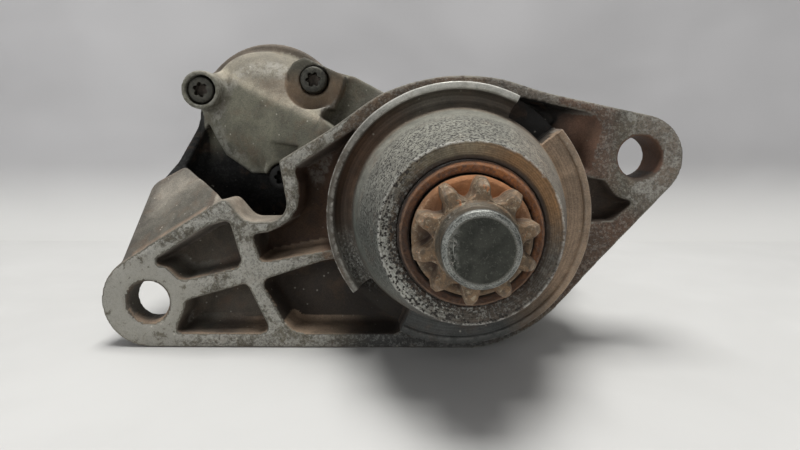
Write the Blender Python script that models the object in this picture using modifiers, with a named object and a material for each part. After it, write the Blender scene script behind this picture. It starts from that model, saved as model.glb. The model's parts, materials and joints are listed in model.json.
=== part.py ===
"""Car starter motor, drive end first: cast drive housing with nose and two-ear flange,
free-ejecting pinion, overrunning clutch, shift lever, planetary reduction, permanent-magnet
motor and side solenoid.

Frame: metres, +Z up. The pinion axis is the Y axis; the pinion points along -Y (front) and the
motor lies along +Y (rear). Left is -X. The origin is the centre of the stub's front face. The
sizes below are in millimetres, and their y counts from the mounting face of the ears; the last
lines move everything back so that the stub's front face lies at y = 0.

Every *_PROFILE is a list of (radius, y) points about a piece's own axis, every *_OUTLINE a list
of (x, z) points, with a third column for the corner radius where it is passed to rounded().
"""

import math
from collections import namedtuple

import bmesh
import bpy
from mathutils import Matrix, Vector

UNIT = 0.001  # metres in a millimetre
GAP = 0.3  # running and fitting gap between neighbours
SIDES = (-1, 1)  # left and right

# --- driving dimensions (mm) -------------------------------------------------------------
BOSS_R = 40.6  # drum and its boss on the flange
DRUM_REAR = 79.6
NOSE_BORE_R = 18.3
SEAL_BORE_R = 17.1
GEAR_SEAT_R = 36.0
STUB_FRONT = -65.7
SHAFT_R = 13.9

SOLENOID_AXIS = (-65.5, 29.8)  # x, z; parallel to the pinion axis
RIM_REAR = 54.0  # housing face that carries the solenoid
SCREW_PITCH_R = 22.3
SCREW_ANGLES = (156.0, 34.0, -72.0)

PIVOT_ARM = 38.0  # fork pivot to pinion axis
PIVOT_Y = 48.0
DRIVE_TRAVEL = 12.0

YOKE_REAR = 134.0
BOLT_ORBIT = 43.0  # through bolts, left and right of the pinion axis
BOLT_R = 2.6

for old in list(bpy.data.objects):
    bpy.data.objects.remove(old, do_unlink=True)

parts = bpy.data.collections.new("starter_motor")
tools = bpy.data.collections.new("cutters")
bpy.context.scene.collection.children.link(parts)
bpy.context.scene.collection.children.link(tools)

# --- finishes ----------------------------------------------------------------------------
Look = namedtuple("Look", "colour roughness metallic")
CAST = Look(colour=(0.36, 0.35, 0.31), roughness=0.55, metallic=0.85)
STEEL = Look(colour=(0.45, 0.44, 0.42), roughness=0.4, metallic=1.0)
DARK_STEEL = Look(colour=(0.12, 0.12, 0.11), roughness=0.45, metallic=0.9)
RUST = Look(colour=(0.38, 0.16, 0.06), roughness=0.85, metallic=0.2)
COPPER = Look(colour=(0.62, 0.30, 0.16), roughness=0.35, metallic=1.0)
ZINC = Look(colour=(0.55, 0.54, 0.47), roughness=0.35, metallic=1.0)
PAINT = Look(colour=(0.04, 0.04, 0.045), roughness=0.5, metallic=0.3)
PLASTIC = Look(colour=(0.03, 0.03, 0.032), roughness=0.55, metallic=0.0)
RUBBER = Look(colour=(0.02, 0.02, 0.02), roughness=0.8, metallic=0.0)
BRONZE = Look(colour=(0.45, 0.30, 0.14), roughness=0.5, metallic=0.9)
FERRITE = Look(colour=(0.10, 0.10, 0.11), roughness=0.7, metallic=0.2)
CARBON = Look(colour=(0.08, 0.07, 0.065), roughness=0.7, metallic=0.3)


def material(name, look):
    made = bpy.data.materials.new(name)
    made.use_nodes = True
    shader = made.node_tree.nodes["Principled BSDF"]
    shader.inputs["Base Color"].default_value = (*look.colour, 1.0)
    shader.inputs["Roughness"].default_value = look.roughness
    shader.inputs["Metallic"].default_value = look.metallic
    return made


# --- objects and booleans ----------------------------------------------------------------
def file_in(obj, collection):
    for holder in list(obj.users_collection):
        holder.objects.unlink(obj)
    collection.objects.link(obj)


def finish(obj, name, look, smooth=35.0):
    """A real piece: its name, its own material and smooth shading on round faces."""
    obj.name = name
    obj.data.name = name
    file_in(obj, parts)
    obj.data.materials.append(material(name, look))
    obj.data.shade_smooth()
    obj.data.set_sharp_from_angle(angle=math.radians(smooth))


def add_object(name, mesh):
    obj = bpy.data.objects.new(name, mesh)
    bpy.context.scene.collection.objects.link(obj)
    return obj


def boolean(obj, other, operation, solver):
    """Work the other shape into obj with a modifier, and put it away as a helper."""
    file_in(other, tools)
    other.hide_render = True
    other.display_type = "WIRE"
    modifier = obj.modifiers.new(operation.lower(), "BOOLEAN")
    modifier.operation = operation
    modifier.solver = solver
    modifier.object = other


def cut(obj, *others, solver="EXACT"):
    for other in others:
        boolean(obj, other, "DIFFERENCE", solver)


def join(obj, *others, solver="EXACT"):
    for other in others:
        boolean(obj, other, "UNION", solver)


# Many bodies meet in the casting and on the carrier, and the exact solver leaves open edges there.
MANY_BODIES = "MANIFOLD"


# --- shapes ------------------------------------------------------------------------------
def cylinder(radius, front, rear, x=0.0, z=0.0, sides=24):
    """A cylinder parallel to the pinion axis."""
    bpy.ops.mesh.primitive_cylinder_add(
        vertices=sides,
        radius=radius * UNIT,
        depth=(rear - front) * UNIT,
        location=(x * UNIT, (front + rear) / 2 * UNIT, z * UNIT),
        rotation=(math.radians(90), 0, 0),
    )
    return bpy.context.object


def rod(radius, start, end, sides=14):
    """A cylinder between two points."""
    bpy.ops.mesh.primitive_cylinder_add(
        vertices=sides,
        radius=radius * UNIT,
        depth=(end - start).length * UNIT,
        location=(start + end) / 2 * UNIT,
    )
    obj = bpy.context.object
    obj.rotation_mode = "QUATERNION"
    obj.rotation_quaternion = (end - start).to_track_quat("Z", "Y")
    return obj


def block(centre, size, frame=Matrix.Identity(3)):
    """A box of this size; frame turns it about its centre."""
    bpy.ops.mesh.primitive_cube_add(size=1.0)
    obj = bpy.context.object
    obj.data.transform(Matrix.Diagonal((*(Vector(size) * UNIT), 1.0)))
    obj.matrix_world = Matrix.Translation(Vector(centre) * UNIT) @ frame.to_4x4()
    return obj


def turned(profile, x=0.0, z=0.0, steps=22, closed=True):
    """A turned shape; the outside of its profile runs from the rear to the front."""
    mesh = bpy.data.meshes.new("turned")
    edges = [(i, i + 1) for i in range(len(profile) - 1)]
    if closed:
        edges.append((len(profile) - 1, 0))
    mesh.from_pydata([(radius * UNIT, 0.0, y * UNIT) for radius, y in profile], edges, [])
    obj = add_object("turned", mesh)
    obj.rotation_euler = (math.radians(-90), 0, 0)
    obj.location = (x * UNIT, 0, z * UNIT)
    screw = obj.modifiers.new("turn", "SCREW")
    screw.axis = "Z"
    screw.angle = math.tau
    screw.steps = screw.render_steps = steps
    screw.use_merge_vertices = True
    screw.merge_threshold = 0.00002
    return obj


def to_mesh(obj):
    """The evaluated object as plain mesh data in the same place."""
    bpy.context.view_layer.update()
    graph = bpy.context.evaluated_depsgraph_get()
    mesh = bpy.data.meshes.new_from_object(obj.evaluated_get(graph))
    shape = bmesh.new()
    shape.from_mesh(mesh)
    bmesh.ops.remove_doubles(shape, verts=shape.verts, dist=0.000005)
    bmesh.ops.recalc_face_normals(shape, faces=shape.faces)
    shape.to_mesh(mesh)
    shape.free()
    made = add_object("shape", mesh)
    made.matrix_world = obj.matrix_world.copy()
    bpy.data.objects.remove(obj, do_unlink=True)
    return made


def prism(outlines, front, rear):
    """Flat outlines, extruded from front to rear. A hole is a further outline."""
    curve = bpy.data.curves.new("outline", "CURVE")
    curve.dimensions = "2D"
    curve.fill_mode = "BOTH"
    curve.extrude = (rear - front) / 2 * UNIT
    for outline in outlines:
        spline = curve.splines.new("POLY")
        spline.points.add(len(outline) - 1)
        for point, (x, z) in zip(spline.points, outline):
            point.co = (x * UNIT, z * UNIT, 0.0, 1.0)
        spline.use_cyclic_u = True
    obj = add_object("outline", curve)
    upright = Matrix.Rotation(math.radians(90), 4, "X")
    obj.matrix_world = Matrix.Translation((0, (front + rear) / 2 * UNIT, 0)) @ upright
    return to_mesh(obj)


def wire(points, radius, resolution=2):
    """A round wire through the points, as a mesh with filled ends."""
    curve = bpy.data.curves.new("wire", "CURVE")
    curve.dimensions = "3D"
    curve.bevel_depth = radius * UNIT
    curve.bevel_resolution = resolution
    curve.use_fill_caps = True
    spline = curve.splines.new("POLY")
    spline.points.add(len(points) - 1)
    for point, place in zip(spline.points, points):
        point.co = (*(Vector(place) * UNIT), 1.0)
    return to_mesh(add_object("wire", curve))


def coil(start, along, radius, wire_radius, length, turns, per_turn):
    """A helical spring from start, along a direction."""
    way = Vector(along).normalized()
    side = way.orthogonal().normalized()
    third = way.cross(side)
    count = turns * per_turn
    points = []
    for i in range(count + 1):
        angle = math.tau * i / per_turn
        points.append(
            Vector(start)
            + way * (length * i / count)
            + side * (radius * math.cos(angle))
            + third * (radius * math.sin(angle))
        )
    return wire(points, wire_radius, resolution=0)


def hull(points):
    """The convex body around the (x, y, z) points."""
    shape = bmesh.new()
    for point in points:
        shape.verts.new(Vector(point) * UNIT)
    out = bmesh.ops.convex_hull(shape, input=shape.verts)
    spare = out["geom_interior"] + out["geom_unused"]
    loose = {item for item in spare if isinstance(item, bmesh.types.BMVert)}
    bmesh.ops.delete(shape, geom=list(loose), context="VERTS")
    bmesh.ops.recalc_face_normals(shape, faces=shape.faces)
    mesh = bpy.data.meshes.new("hull")
    shape.to_mesh(mesh)
    shape.free()
    return add_object("hull", mesh)


# --- outlines ----------------------------------------------------------------------------
def polar(radius, degrees):
    """The (x, z) point at an angle from +X towards +Z."""
    angle = math.radians(degrees)
    return radius * math.cos(angle), radius * math.sin(angle)


def arc(radius, start, end, steps, centre_z=0.0):
    """Points on an arc about x = 0, angles in degrees from +X towards +Z."""
    points = [polar(radius, start + (end - start) * i / steps) for i in range(steps + 1)]
    return [(x, centre_z + z) for x, z in points]


def radial(points, angle):
    """(distance out, distance across) points, laid along a radius at this angle in radians."""
    cosine, sine = math.cos(angle), math.sin(angle)
    return [(out * cosine - side * sine, out * sine + side * cosine) for out, side in points]


def rounded(corners, chord):
    """An outline from (x, z, corner radius): each corner becomes an arc of about this chord."""
    points = []
    for i, (x, z, radius) in enumerate(corners):
        if radius <= 0:
            points.append((x, z))
            continue
        corner = Vector((x, z))
        back = Vector(corners[i - 1][:2]) - corner
        ahead = Vector(corners[(i + 1) % len(corners)][:2]) - corner
        half = back.angle(ahead) / 2
        back.normalize()
        ahead.normalize()
        reach = radius / math.tan(half)
        centre = corner + (back + ahead).normalized() * (radius / math.sin(half))
        start = corner + back * reach - centre
        end = corner + ahead * reach - centre
        sweep = math.atan2(start.x * end.y - start.y * end.x, start.dot(end))
        steps = max(2, round(abs(sweep) * radius / chord), round(abs(sweep) / 0.6))
        first = math.atan2(start.y, start.x)
        for k in range(steps + 1):
            angle = first + sweep * k / steps
            points.append(
                (centre.x + radius * math.cos(angle), centre.y + radius * math.sin(angle))
            )
    return points


def involute(angle):
    return math.tan(angle) - angle


def gear_outline(teeth, module, pressure, tip_r, root_r, phase, slack, flank):
    """A spur gear with this many points on a flank. slack thins each flank, in mm at the pitch
    circle; a negative slack widens it, which makes the cutter for an internal gear."""
    pitch_r = module * teeth / 2
    base_r = pitch_r * math.cos(pressure)
    low = max(root_r, base_r)
    side = []  # (radius, half angle of the tooth)
    for k in range(flank):
        radius = low + (tip_r - low) * k / (flank - 1)
        local = math.acos(min(1.0, base_r / radius))
        half = math.pi / (2 * teeth) - slack / pitch_r + involute(pressure) - involute(local)
        side.append((radius, max(half, 0.12 / radius)))
    if root_r < base_r - 0.05:
        side.insert(0, (root_r, side[0][1]))
    tooth = [(radius, -half) for radius, half in side] + side[::-1]
    points = []
    for i in range(teeth):
        centre = phase + math.tau * i / teeth
        points += [(r * math.cos(centre + a), r * math.sin(centre + a)) for r, a in tooth]
    return points


def spline_outline(teeth, tip_r, root_r, half_deg):
    """A straight-sided spline."""
    half = math.radians(half_deg)
    tooth = ((root_r, -half), (tip_r, -half), (tip_r, 0), (tip_r, half), (root_r, half))
    points = []
    for i in range(teeth):
        centre = math.tau * i / teeth
        points += [(r * math.cos(centre + a), r * math.sin(centre + a)) for r, a in tooth]
    return points


# --- lever plane -------------------------------------------------------------------------
# The lever stands in the plane of the two axes: OUTWARD points from the pinion axis to the
# solenoid's, ACROSS is square to that plane.
SOLENOID_X, SOLENOID_Z = SOLENOID_AXIS
AXES_APART = math.hypot(SOLENOID_X, SOLENOID_Z)
OUTWARD = Vector((SOLENOID_X / AXES_APART, 0, SOLENOID_Z / AXES_APART))
ACROSS = Vector((OUTWARD.z, 0, -OUTWARD.x))
ALONG = Vector((0, 1, 0))
LEVER_FRAME = Matrix((ACROSS, ALONG, OUTWARD)).transposed()


def lever_point(out, across, y):
    return OUTWARD * out + ACROSS * across + Vector((0, y, 0))


def lever_block(out, y, size, across=0.0):
    """A box of size (across, along y, outward) in the lever's frame."""
    return block(lever_point(out, across, y), size, LEVER_FRAME)


PIVOT = lever_point(PIVOT_ARM, 0, PIVOT_Y)
SCREW_PLACES = []
for screw_angle in SCREW_ANGLES:
    screw_x, screw_z = polar(SCREW_PITCH_R, screw_angle)
    SCREW_PLACES.append((SOLENOID_X + screw_x, SOLENOID_Z + screw_z))

# --- drive housing -----------------------------------------------------------------------
PILOT_R = 38.0  # locating spigot on the mounting face
PILOT_HEIGHT = 10.0
PILOT_GAPS = ((41.0, 63.0), (217.0, 243.4))  # degrees, upper right and lower left
PILOT_GAP_INNER_R = 34.0
FLANGE_DEPTH = 16.0
FLANGE_BOTTOM = -42.6
POCKET_DEPTH = 12.5
POCKET_EDGE_R = PILOT_R + 0.5

LEFT_EAR = (-95.2, -28.1)
LEFT_EAR_R = 14.5
LEFT_EAR_DEPTH = 9.0
RIGHT_EAR = (54.8, 16.6)
RIGHT_EAR_R = 12.9
EAR_HOLE_R = 6.35

NOSE_FRONT = -44.4
NOSE_FRONT_R = 21.7
NOSE_FOOT_R = 28.6
DRUM_CAVITY_R = 34.0
GEAR_SEAT_FRONT = 60.5
RIM_R = 27.4
RIM_FRONT = 50.0
LOBE_FRONT = 29.6
BOLT_LUG_R = 6.2

FLANGE_OUTLINE = [
    (-146.9, FLANGE_BOTTOM, LEFT_EAR_R), (-70.0, 4.0, 2.4), (-63.6, -2.7, 4.0),
    (-50.9, -2.7, 5.0), (-52.9, 15.3, 0.8), (-8.8, 43.0, BOSS_R),
    (79.3, 24.3, RIGHT_EAR_R), (18.9, FLANGE_BOTTOM, -FLANGE_BOTTOM),
]
# nose, pilot wall and drum in one turned body with its bores
AXIAL_PROFILE = [
    (BOSS_R, DRUM_REAR), (BOSS_R, -0.2), (PILOT_R, -0.2), (PILOT_R, -PILOT_HEIGHT + 0.5),
    (PILOT_R - 0.5, -PILOT_HEIGHT), (PILOT_R - 1.8, -PILOT_HEIGHT), (34.6, -6.4),
    (31.6, -4.6), (NOSE_FOOT_R, -6.0), (NOSE_FRONT_R, NOSE_FRONT + 0.7),
    (NOSE_FRONT_R - 0.7, NOSE_FRONT), (SEAL_BORE_R, NOSE_FRONT), (SEAL_BORE_R, -42.2),
    (NOSE_BORE_R, -42.2), (NOSE_BORE_R, -20.0), (22.0, -18.5), (25.0, -3.0),
    (DRUM_CAVITY_R, 4.4), (DRUM_CAVITY_R, GEAR_SEAT_FRONT), (GEAR_SEAT_R, GEAR_SEAT_FRONT),
    (GEAR_SEAT_R, DRUM_REAR),
]
# rim that carries the solenoid, and the closed dome in front of it
DOME_PROFILE = [
    (0.0, 36.4), (13.0, 36.9), (17.0, 39.5), (18.0, 44.0), (18.0, RIM_REAR),
    (RIM_R, RIM_REAR), (RIM_R, RIM_FRONT), (24.8, RIM_FRONT), (24.4, 43.0), (22.6, 37.5),
    (18.5, 34.2), (11.0, 33.1), (0.0, 33.0),
]
# (radius, front y, sides) of the lobe around each solenoid screw
LOBES = ((6.6, LOBE_FRONT, 20), (8.4, LOBE_FRONT + 2.0, 24), (6.6, LOBE_FRONT, 20))

# Corners (x, y, z) of the convex bodies of the casting.
# shoulder: the smooth web that runs back from the flange's upper left edge
SHOULDER = [
    (-104.5, 0.6, -17.5), (-70.2, 0.6, 3.6), (-74.0, 1.0, -12.0), (-98.0, 1.0, -20.0),
    (-104.0, 27.0, 5.8), (-92.0, 29.0, 13.4), (-75.0, 14.0, 4.0), (-90.0, 34.0, 10.0),
    (-101.0, 30.0, -10.0), (-80.0, 30.0, -8.0),
]
# wall that ties the shoulder to the rim
BACK_WALL = [
    (-92.0, 30.0, 13.0), (-103.0, 28.5, 5.0), (-100.0, 30.0, -8.0), (-90.5, 44.0, 18.0),
    (-88.0, 50.0, 26.0), (-86.0, 53.6, 30.0), (-50.0, 44.0, -2.0), (-50.0, 53.6, 8.0),
    (-70.0, 34.0, -14.0), (-84.0, 40.0, -12.0), (-62.0, 52.0, -6.0),
]
# step that carries the second screw towards the upper edge of the flange
BRIDGE_OUTLINE = [(-44.0, 49.5), (-22.0, 36.5), (-24.0, 24.0), (-46.0, 22.0), (-52.0, 30.0)]
BRIDGE = [(x, y, z) for x, z in BRIDGE_OUTLINE for y in (40.0, 53.5)]
# casting behind the ribs, down to the flange's lower edge
BELLY = [
    (-80.0, 14.0, -41.0), (-84.0, 14.0, -24.0), (-30.0, 14.0, -41.5), (-30.0, 14.0, 20.0),
    (-66.0, 14.0, -12.0), (-30.0, 52.0, -20.0), (-30.0, 52.0, 10.0),
]

LEFT_POCKET_OUTLINE = [
    (-94.0, -15.6, 1.2), (-75.5, -4.2, 4.0), (-68.9, -2.4, 1.5), (-65.6, -15.2, 1.0),
    (-67.0, -17.4, 1.4), (-84.5, -21.3, 3.0),
]
LOWER_LEFT_POCKET_OUTLINE = [
    (-83.5, -27.5, 1.8), (-64.3, -22.1, 1.6), (-57.4, -37.0, 1.8), (-60.0, -38.2, 0.8),
    (-87.0, -38.2, 0.9), (-84.8, -33.0, 6.0),
]
LOWER_POCKET_OUTLINE = [
    (-58.9, -22.0), (-57.6, -20.4), (-40.5, -14.9),
    *arc(POCKET_EDGE_R, 201.5, 243.0, 8),
    (-18.5, -36.4), (-21.0, -38.2), (-47.0, -38.2), (-50.6, -36.8), (-52.9, -34.2),
    (-58.9, -23.6),
]
UPPER_LEFT_POCKET_OUTLINE = [
    (-60.0, -14.6), (-62.0, -8.2), (-61.2, -6.7), (-57.2, -6.2), (-53.5, -4.5),
    (-50.3, -2.0), (-48.2, 1.0), (-47.5, 4.6), (-48.2, 10.0), (-47.6, 13.0),
    (-45.4, 15.4), (-27.0, 26.9),
    *arc(POCKET_EDGE_R, 133.0, 197.5, 12),
    (-57.4, -15.4),
]
RIGHT_EAR_POCKET_OUTLINE = [
    (41.4, 10.4, 1.2), (44.6, 9.8, 1.6), (48.2, 5.0, 5.0), (53.6, 3.2, 0.9),
    (47.4, -2.4, 3.0), (42.0, -3.0, 1.0),
]
UPPER_RIGHT_POCKET_OUTLINE = [
    *arc(BOSS_R + 0.4, 52.0, 20.0, 7),
    (41.0, 16.6), (41.4, 20.5), (43.2, 24.6), (43.0, 27.8), (41.4, 28.9), (27.0, 31.8),
]
# gives access to the third screw
NOTCH_OUTLINE = [
    (-78.0, 16.0, 0), (-70.6, 4.6, 0), (-66.8, -1.0, 4.0), (-62.5, -2.7, 3.0),
    (-50.9, -2.7, 5.0), (-52.9, 15.3, 0), (-46.0, 20.0, 0), (-52.0, 30.0, 0),
]
EAR_HOLE_PROFILE = [
    (0.0, 40.0), (EAR_HOLE_R, 40.0), (EAR_HOLE_R, 1.0), (EAR_HOLE_R + 2.0, -1.0), (0.0, -1.0),
]
SCREW_SEAT_PROFILE = [
    (0.0, 60.0), (3.0, 60.0), (3.0, 36.0), (5.15, 36.0), (5.15, 26.0), (0.0, 26.0),
]


def join_casting_bodies(housing):
    """The webs and walls, the lever tunnel, the screw lobes and the bolt lugs."""
    shoulder = hull(SHOULDER)
    back_wall = hull(BACK_WALL)
    bridge = hull(BRIDGE)
    belly = hull(BELLY)
    tunnel_high = lever_block(41.0, 46.0, (31.0, 15.8, 40.0))
    tunnel_low = lever_block(31.5, 50.7, (31.0, 25.4, 27.0))
    join(
        housing, belly, shoulder, back_wall, bridge, tunnel_high, tunnel_low,
        solver=MANY_BODIES,
    )
    for (radius, front, sides), (x, z) in zip(LOBES, SCREW_PLACES):
        lobe = cylinder(radius, front, RIM_REAR - 0.2, x, z, sides=sides)
        join(housing, lobe, solver=MANY_BODIES)
    for side in SIDES:
        lug = cylinder(BOLT_LUG_R, 60.0, DRUM_REAR - 0.1, side * BOLT_ORBIT, sides=18)
        web = block((side * 40.5, 69.8, 0), (6.0, 19.4, 12.0))
        join(housing, lug, web, solver=MANY_BODIES)


def cut_flange(housing):
    """Pockets between the ribs, gaps in the pilot wall and the notch by the third screw."""
    hollows = [  # (outline, rear y)
        (rounded(LEFT_POCKET_OUTLINE, 1.6), POCKET_DEPTH),
        (rounded(LOWER_LEFT_POCKET_OUTLINE, 1.6), POCKET_DEPTH),
        (LOWER_POCKET_OUTLINE, POCKET_DEPTH),
        (UPPER_LEFT_POCKET_OUTLINE, POCKET_DEPTH),
        (rounded(RIGHT_EAR_POCKET_OUTLINE, 1.6), 8.0),
        (UPPER_RIGHT_POCKET_OUTLINE, 10.0),
    ]
    cutters = [prism([outline], -1.0, rear) for outline, rear in hollows]
    for start, end in PILOT_GAPS:
        outline = arc(PILOT_R + 1.5, start, end, 5) + arc(PILOT_GAP_INNER_R, end, start, 5)
        cutters.append(prism([outline], -PILOT_HEIGHT - 1, 3.0))
    cutters.append(prism([rounded(NOTCH_OUTLINE, 1.8)], -1.0, LOBE_FRONT - 0.4))
    cut(housing, *cutters, solver=MANY_BODIES)


def cut_ears(housing):
    """The left ear is thin; both bolt holes have a countersunk mouth."""
    ear_x, ear_z = LEFT_EAR
    behind_ear = cylinder(16.5, LEFT_EAR_DEPTH, FLANGE_DEPTH + 20, ear_x - 7.8, ear_z - 4.9)
    cut(housing, behind_ear, solver=MANY_BODIES)
    for x, z in (LEFT_EAR, RIGHT_EAR):
        hole = turned(EAR_HOLE_PROFILE, x, z, steps=20, closed=False)
        cut(housing, hole, solver=MANY_BODIES)


def cut_inside(housing):
    """Lever space, screw seats and bolt threads."""
    lever_space_high = lever_block(44.0, 48.1, (24.0, 12.2, 36.0))
    lever_space_low = lever_block(34.2, 51.1, (24.0, 18.2, 16.4))
    cut(housing, lever_space_high, lever_space_low, solver=MANY_BODIES)
    for x, z in SCREW_PLACES:
        seat = turned(SCREW_SEAT_PROFILE, x, z, steps=16, closed=False)
        cut(housing, seat, solver=MANY_BODIES)
    for side in SIDES:
        thread = cylinder(BOLT_R + GAP, 66.0, DRUM_REAR + 1, side * BOLT_ORBIT, sides=12)
        cut(housing, thread, solver=MANY_BODIES)


def build_housing():
    housing = prism([rounded(FLANGE_OUTLINE, 3.0)], 0, FLANGE_DEPTH)
    axial = turned(AXIAL_PROFILE, steps=36)
    dome = turned(DOME_PROFILE, *SOLENOID_AXIS, closed=False)
    join_casting_bodies(housing)
    # everything inside the turned bodies is cleared before they are put in
    drum_space = cylinder(39.2, -1.0, DRUM_REAR + 1, sides=36)
    rim_space = cylinder(23.0, 34.0, RIM_REAR + 2, *SOLENOID_AXIS, sides=30)
    cut(housing, drum_space, rim_space, solver=MANY_BODIES)
    join(housing, axial, dome, solver=MANY_BODIES)
    cut_flange(housing)
    cut_ears(housing)
    cut_inside(housing)
    finish(housing, "drive_housing", CAST)


# --- nose: needle bearing and seal -------------------------------------------------------
BEARING_R = NOSE_BORE_R - GAP
BEARING_PROFILE = [
    (BEARING_R, -20.6), (BEARING_R, -41.9), (14.9, -41.9), (14.9, -40.2), (14.3, -39.6),
    (14.3, -22.9), (14.9, -22.3), (14.9, -20.6),
]
SEAL_R = SEAL_BORE_R - GAP
SEAL_PROFILE = [
    (SEAL_R, -42.6), (SEAL_R, -45.4), (16.2, -46.0), (15.4, -46.2), (14.45, -45.6),
    (14.3, -44.6), (15.2, -42.6),
]


def build_nose():
    finish(turned(BEARING_PROFILE, steps=20), "needle_bearing", STEEL)
    finish(turned(SEAL_PROFILE), "nose_seal", RUST)


# --- pinion ------------------------------------------------------------------------------
PINION_TEETH = 10
PINION_MODULE = 2.33
PINION_PRESSURE = math.radians(17.5)
PINION_PHASE = math.radians(12.9)
PINION_TIP_R = 14.0
PINION_ROOT_R = 9.4
PINION_CORE_R = PINION_ROOT_R - 0.3
TEETH_FRONT = -57.6
TEETH_REAR = -47.3
STUB_R = 8.17
PINION_PROFILE = [
    (8.4, 37.5), (14.5, 37.5), (14.5, 20.6), (SHAFT_R, 20.0), (SHAFT_R, TEETH_REAR + 0.8),
    (SHAFT_R - 0.8, TEETH_REAR), (PINION_CORE_R, TEETH_REAR),
    (PINION_CORE_R, TEETH_FRONT + 0.6), (8.9, TEETH_FRONT - 0.9), (STUB_R, TEETH_FRONT - 1.6),
    (STUB_R, STUB_FRONT + 0.7), (STUB_R - 0.7, STUB_FRONT), (0.0, STUB_FRONT), (0.0, -24.0),
    (8.4, -22.0),
]


def build_pinion():
    pinion = turned(PINION_PROFILE, steps=20)
    outline = gear_outline(
        PINION_TEETH, PINION_MODULE, PINION_PRESSURE, PINION_TIP_R, PINION_ROOT_R,
        phase=PINION_PHASE, slack=0.15, flank=4,
    )
    join(pinion, prism([outline], TEETH_FRONT, TEETH_REAR + 0.4))
    finish(pinion, "pinion_shaft", RUST, smooth=30)


# --- overrunning clutch and shift ring ---------------------------------------------------
CLUTCH_REAR = 59.0
ROLLER_SPOTS = [polar(18.2, 90 + 72 * i) for i in range(5)]
CLUTCH_PROFILE = [
    (12.8, CLUTCH_REAR), (12.8, 41.0), (28.0, 41.0), (28.0, 19.8), (15.1, 19.8),
    (15.1, 38.4), (6.0, 38.4), (6.0, CLUTCH_REAR),
]
CLUTCH_COVER_PROFILE = [
    (29.5, 32.0), (29.5, 18.2), (28.7, 17.4), (14.7, 17.4), (14.7, 19.4), (28.7, 19.4),
    (28.7, 32.0),
]
SHIFT_RING_PROFILE = [
    (13.2, CLUTCH_REAR), (21.0, CLUTCH_REAR), (21.0, 56.4), (16.6, 56.4), (16.6, 51.6),
    (21.0, 51.6), (21.0, 49.0), (13.2, 49.0),
]


def build_clutch():
    clutch = turned(CLUTCH_PROFILE, steps=20)
    cut(clutch, prism([spline_outline(8, 8.4, 7.4, 13.5)], 37.0, 60.0))
    for x, z in ROLLER_SPOTS:
        cut(clutch, cylinder(3.7, 19.0, 37.0, x, z, sides=12))
    finish(clutch, "clutch_housing", STEEL)
    for i, (x, z) in enumerate(ROLLER_SPOTS, 1):
        finish(cylinder(3.2, 21.5, 36.2, x, z, sides=12), f"clutch_roller_{i}", STEEL)
    finish(turned(CLUTCH_COVER_PROFILE, steps=20), "clutch_cover", ZINC)
    finish(turned(SHIFT_RING_PROFILE, steps=20), "shift_ring", PLASTIC)


# --- lever and its bearing ---------------------------------------------------------------
FORK_R = 27.5
FORK_OUT = 36.8  # bracket and pad, distance from the pinion axis
# drawn flat in (across, outward) with the pinion axis as its origin, then tipped about the pivot
FORK_OUTLINE = [
    *arc(FORK_R, -6, 78, 8),
    (4.3, 33.0), (3.9, 60.0),
    *arc(3.4, 0, 180, 5, centre_z=AXES_APART - 3.6),
    (-3.9, 60.0), (-4.3, 33.0),
    *arc(FORK_R, 102, 186, 8),
    *arc(22.6, 186, -6, 16),
]


def pivot_rod(radius, reach, sides=14):
    """A cylinder about the fork's pivot that reaches this far to each side."""
    return rod(radius, PIVOT - ACROSS * reach, PIVOT + ACROSS * reach, sides)


def build_fork():
    tilt = math.asin(DRIVE_TRAVEL / 2 / PIVOT_ARM)
    tipped = (
        Matrix.Translation(PIVOT * UNIT)
        @ Matrix.Rotation(tilt, 4, ACROSS)
        @ Matrix.Translation(-PIVOT * UNIT)
        @ Matrix.Translation((0, PIVOT_Y * UNIT, 0))
        @ Matrix((ACROSS, OUTWARD, ACROSS.cross(OUTWARD))).transposed().to_4x4()
    )
    fork = prism([FORK_OUTLINE], -1.6, 1.6)
    fork.matrix_world = tipped
    boss = pivot_rod(5.4, 8.0, sides=18)
    spot = tipped.translation / UNIT
    pads = [
        rod(1.8, spot + ACROSS * side * 18.2, spot + ACROSS * side * 25.0, sides=12)
        for side in SIDES
    ]
    join(fork, boss, *pads)
    cut(fork, pivot_rod(2.85, 12))
    finish(fork, "fork_lever", PLASTIC)
    finish(pivot_rod(2.5, 11.4), "fork_pin", STEEL)


def build_fork_bearing():
    bracket = lever_block(FORK_OUT, 50.9, (23.2, 13.8, 10.6))
    cut(bracket, lever_block(FORK_OUT, 48.4, (16.8, 14.0, 14.0)))
    cut(bracket, pivot_rod(2.8, 14))
    finish(bracket, "fork_bracket", ZINC)
    finish(lever_block(FORK_OUT, 59.1, (22.4, 1.8, 9.8)), "fork_pad", RUBBER)


# --- planetary reduction -----------------------------------------------------------------
SUN_TEETH, PLANET_TEETH, RING_TEETH = 12, 15, 42
GEAR_MODULE = 1.4
GEAR_PRESSURE = math.radians(25)
GEAR_SLACK = 0.11
GEARS_FRONT = 66.2
LONG_REACH = 1.2 * GEAR_MODULE  # pitch circle to the floor of a tooth space
SHORT_REACH = 0.9 * GEAR_MODULE  # pitch circle to the tip of a tooth
SUN_PITCH_R = GEAR_MODULE * SUN_TEETH / 2
PLANET_PITCH_R = GEAR_MODULE * PLANET_TEETH / 2
RING_PITCH_R = GEAR_MODULE * RING_TEETH / 2
PLANET_ORBIT = GEAR_MODULE * (SUN_TEETH + PLANET_TEETH) / 2
PLANET_ANGLES = (90.0, 210.0, 330.0)
PLANET_SPOTS = [polar(PLANET_ORBIT, angle) for angle in PLANET_ANGLES]
GEAR_R = GEAR_SEAT_R - GAP
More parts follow.
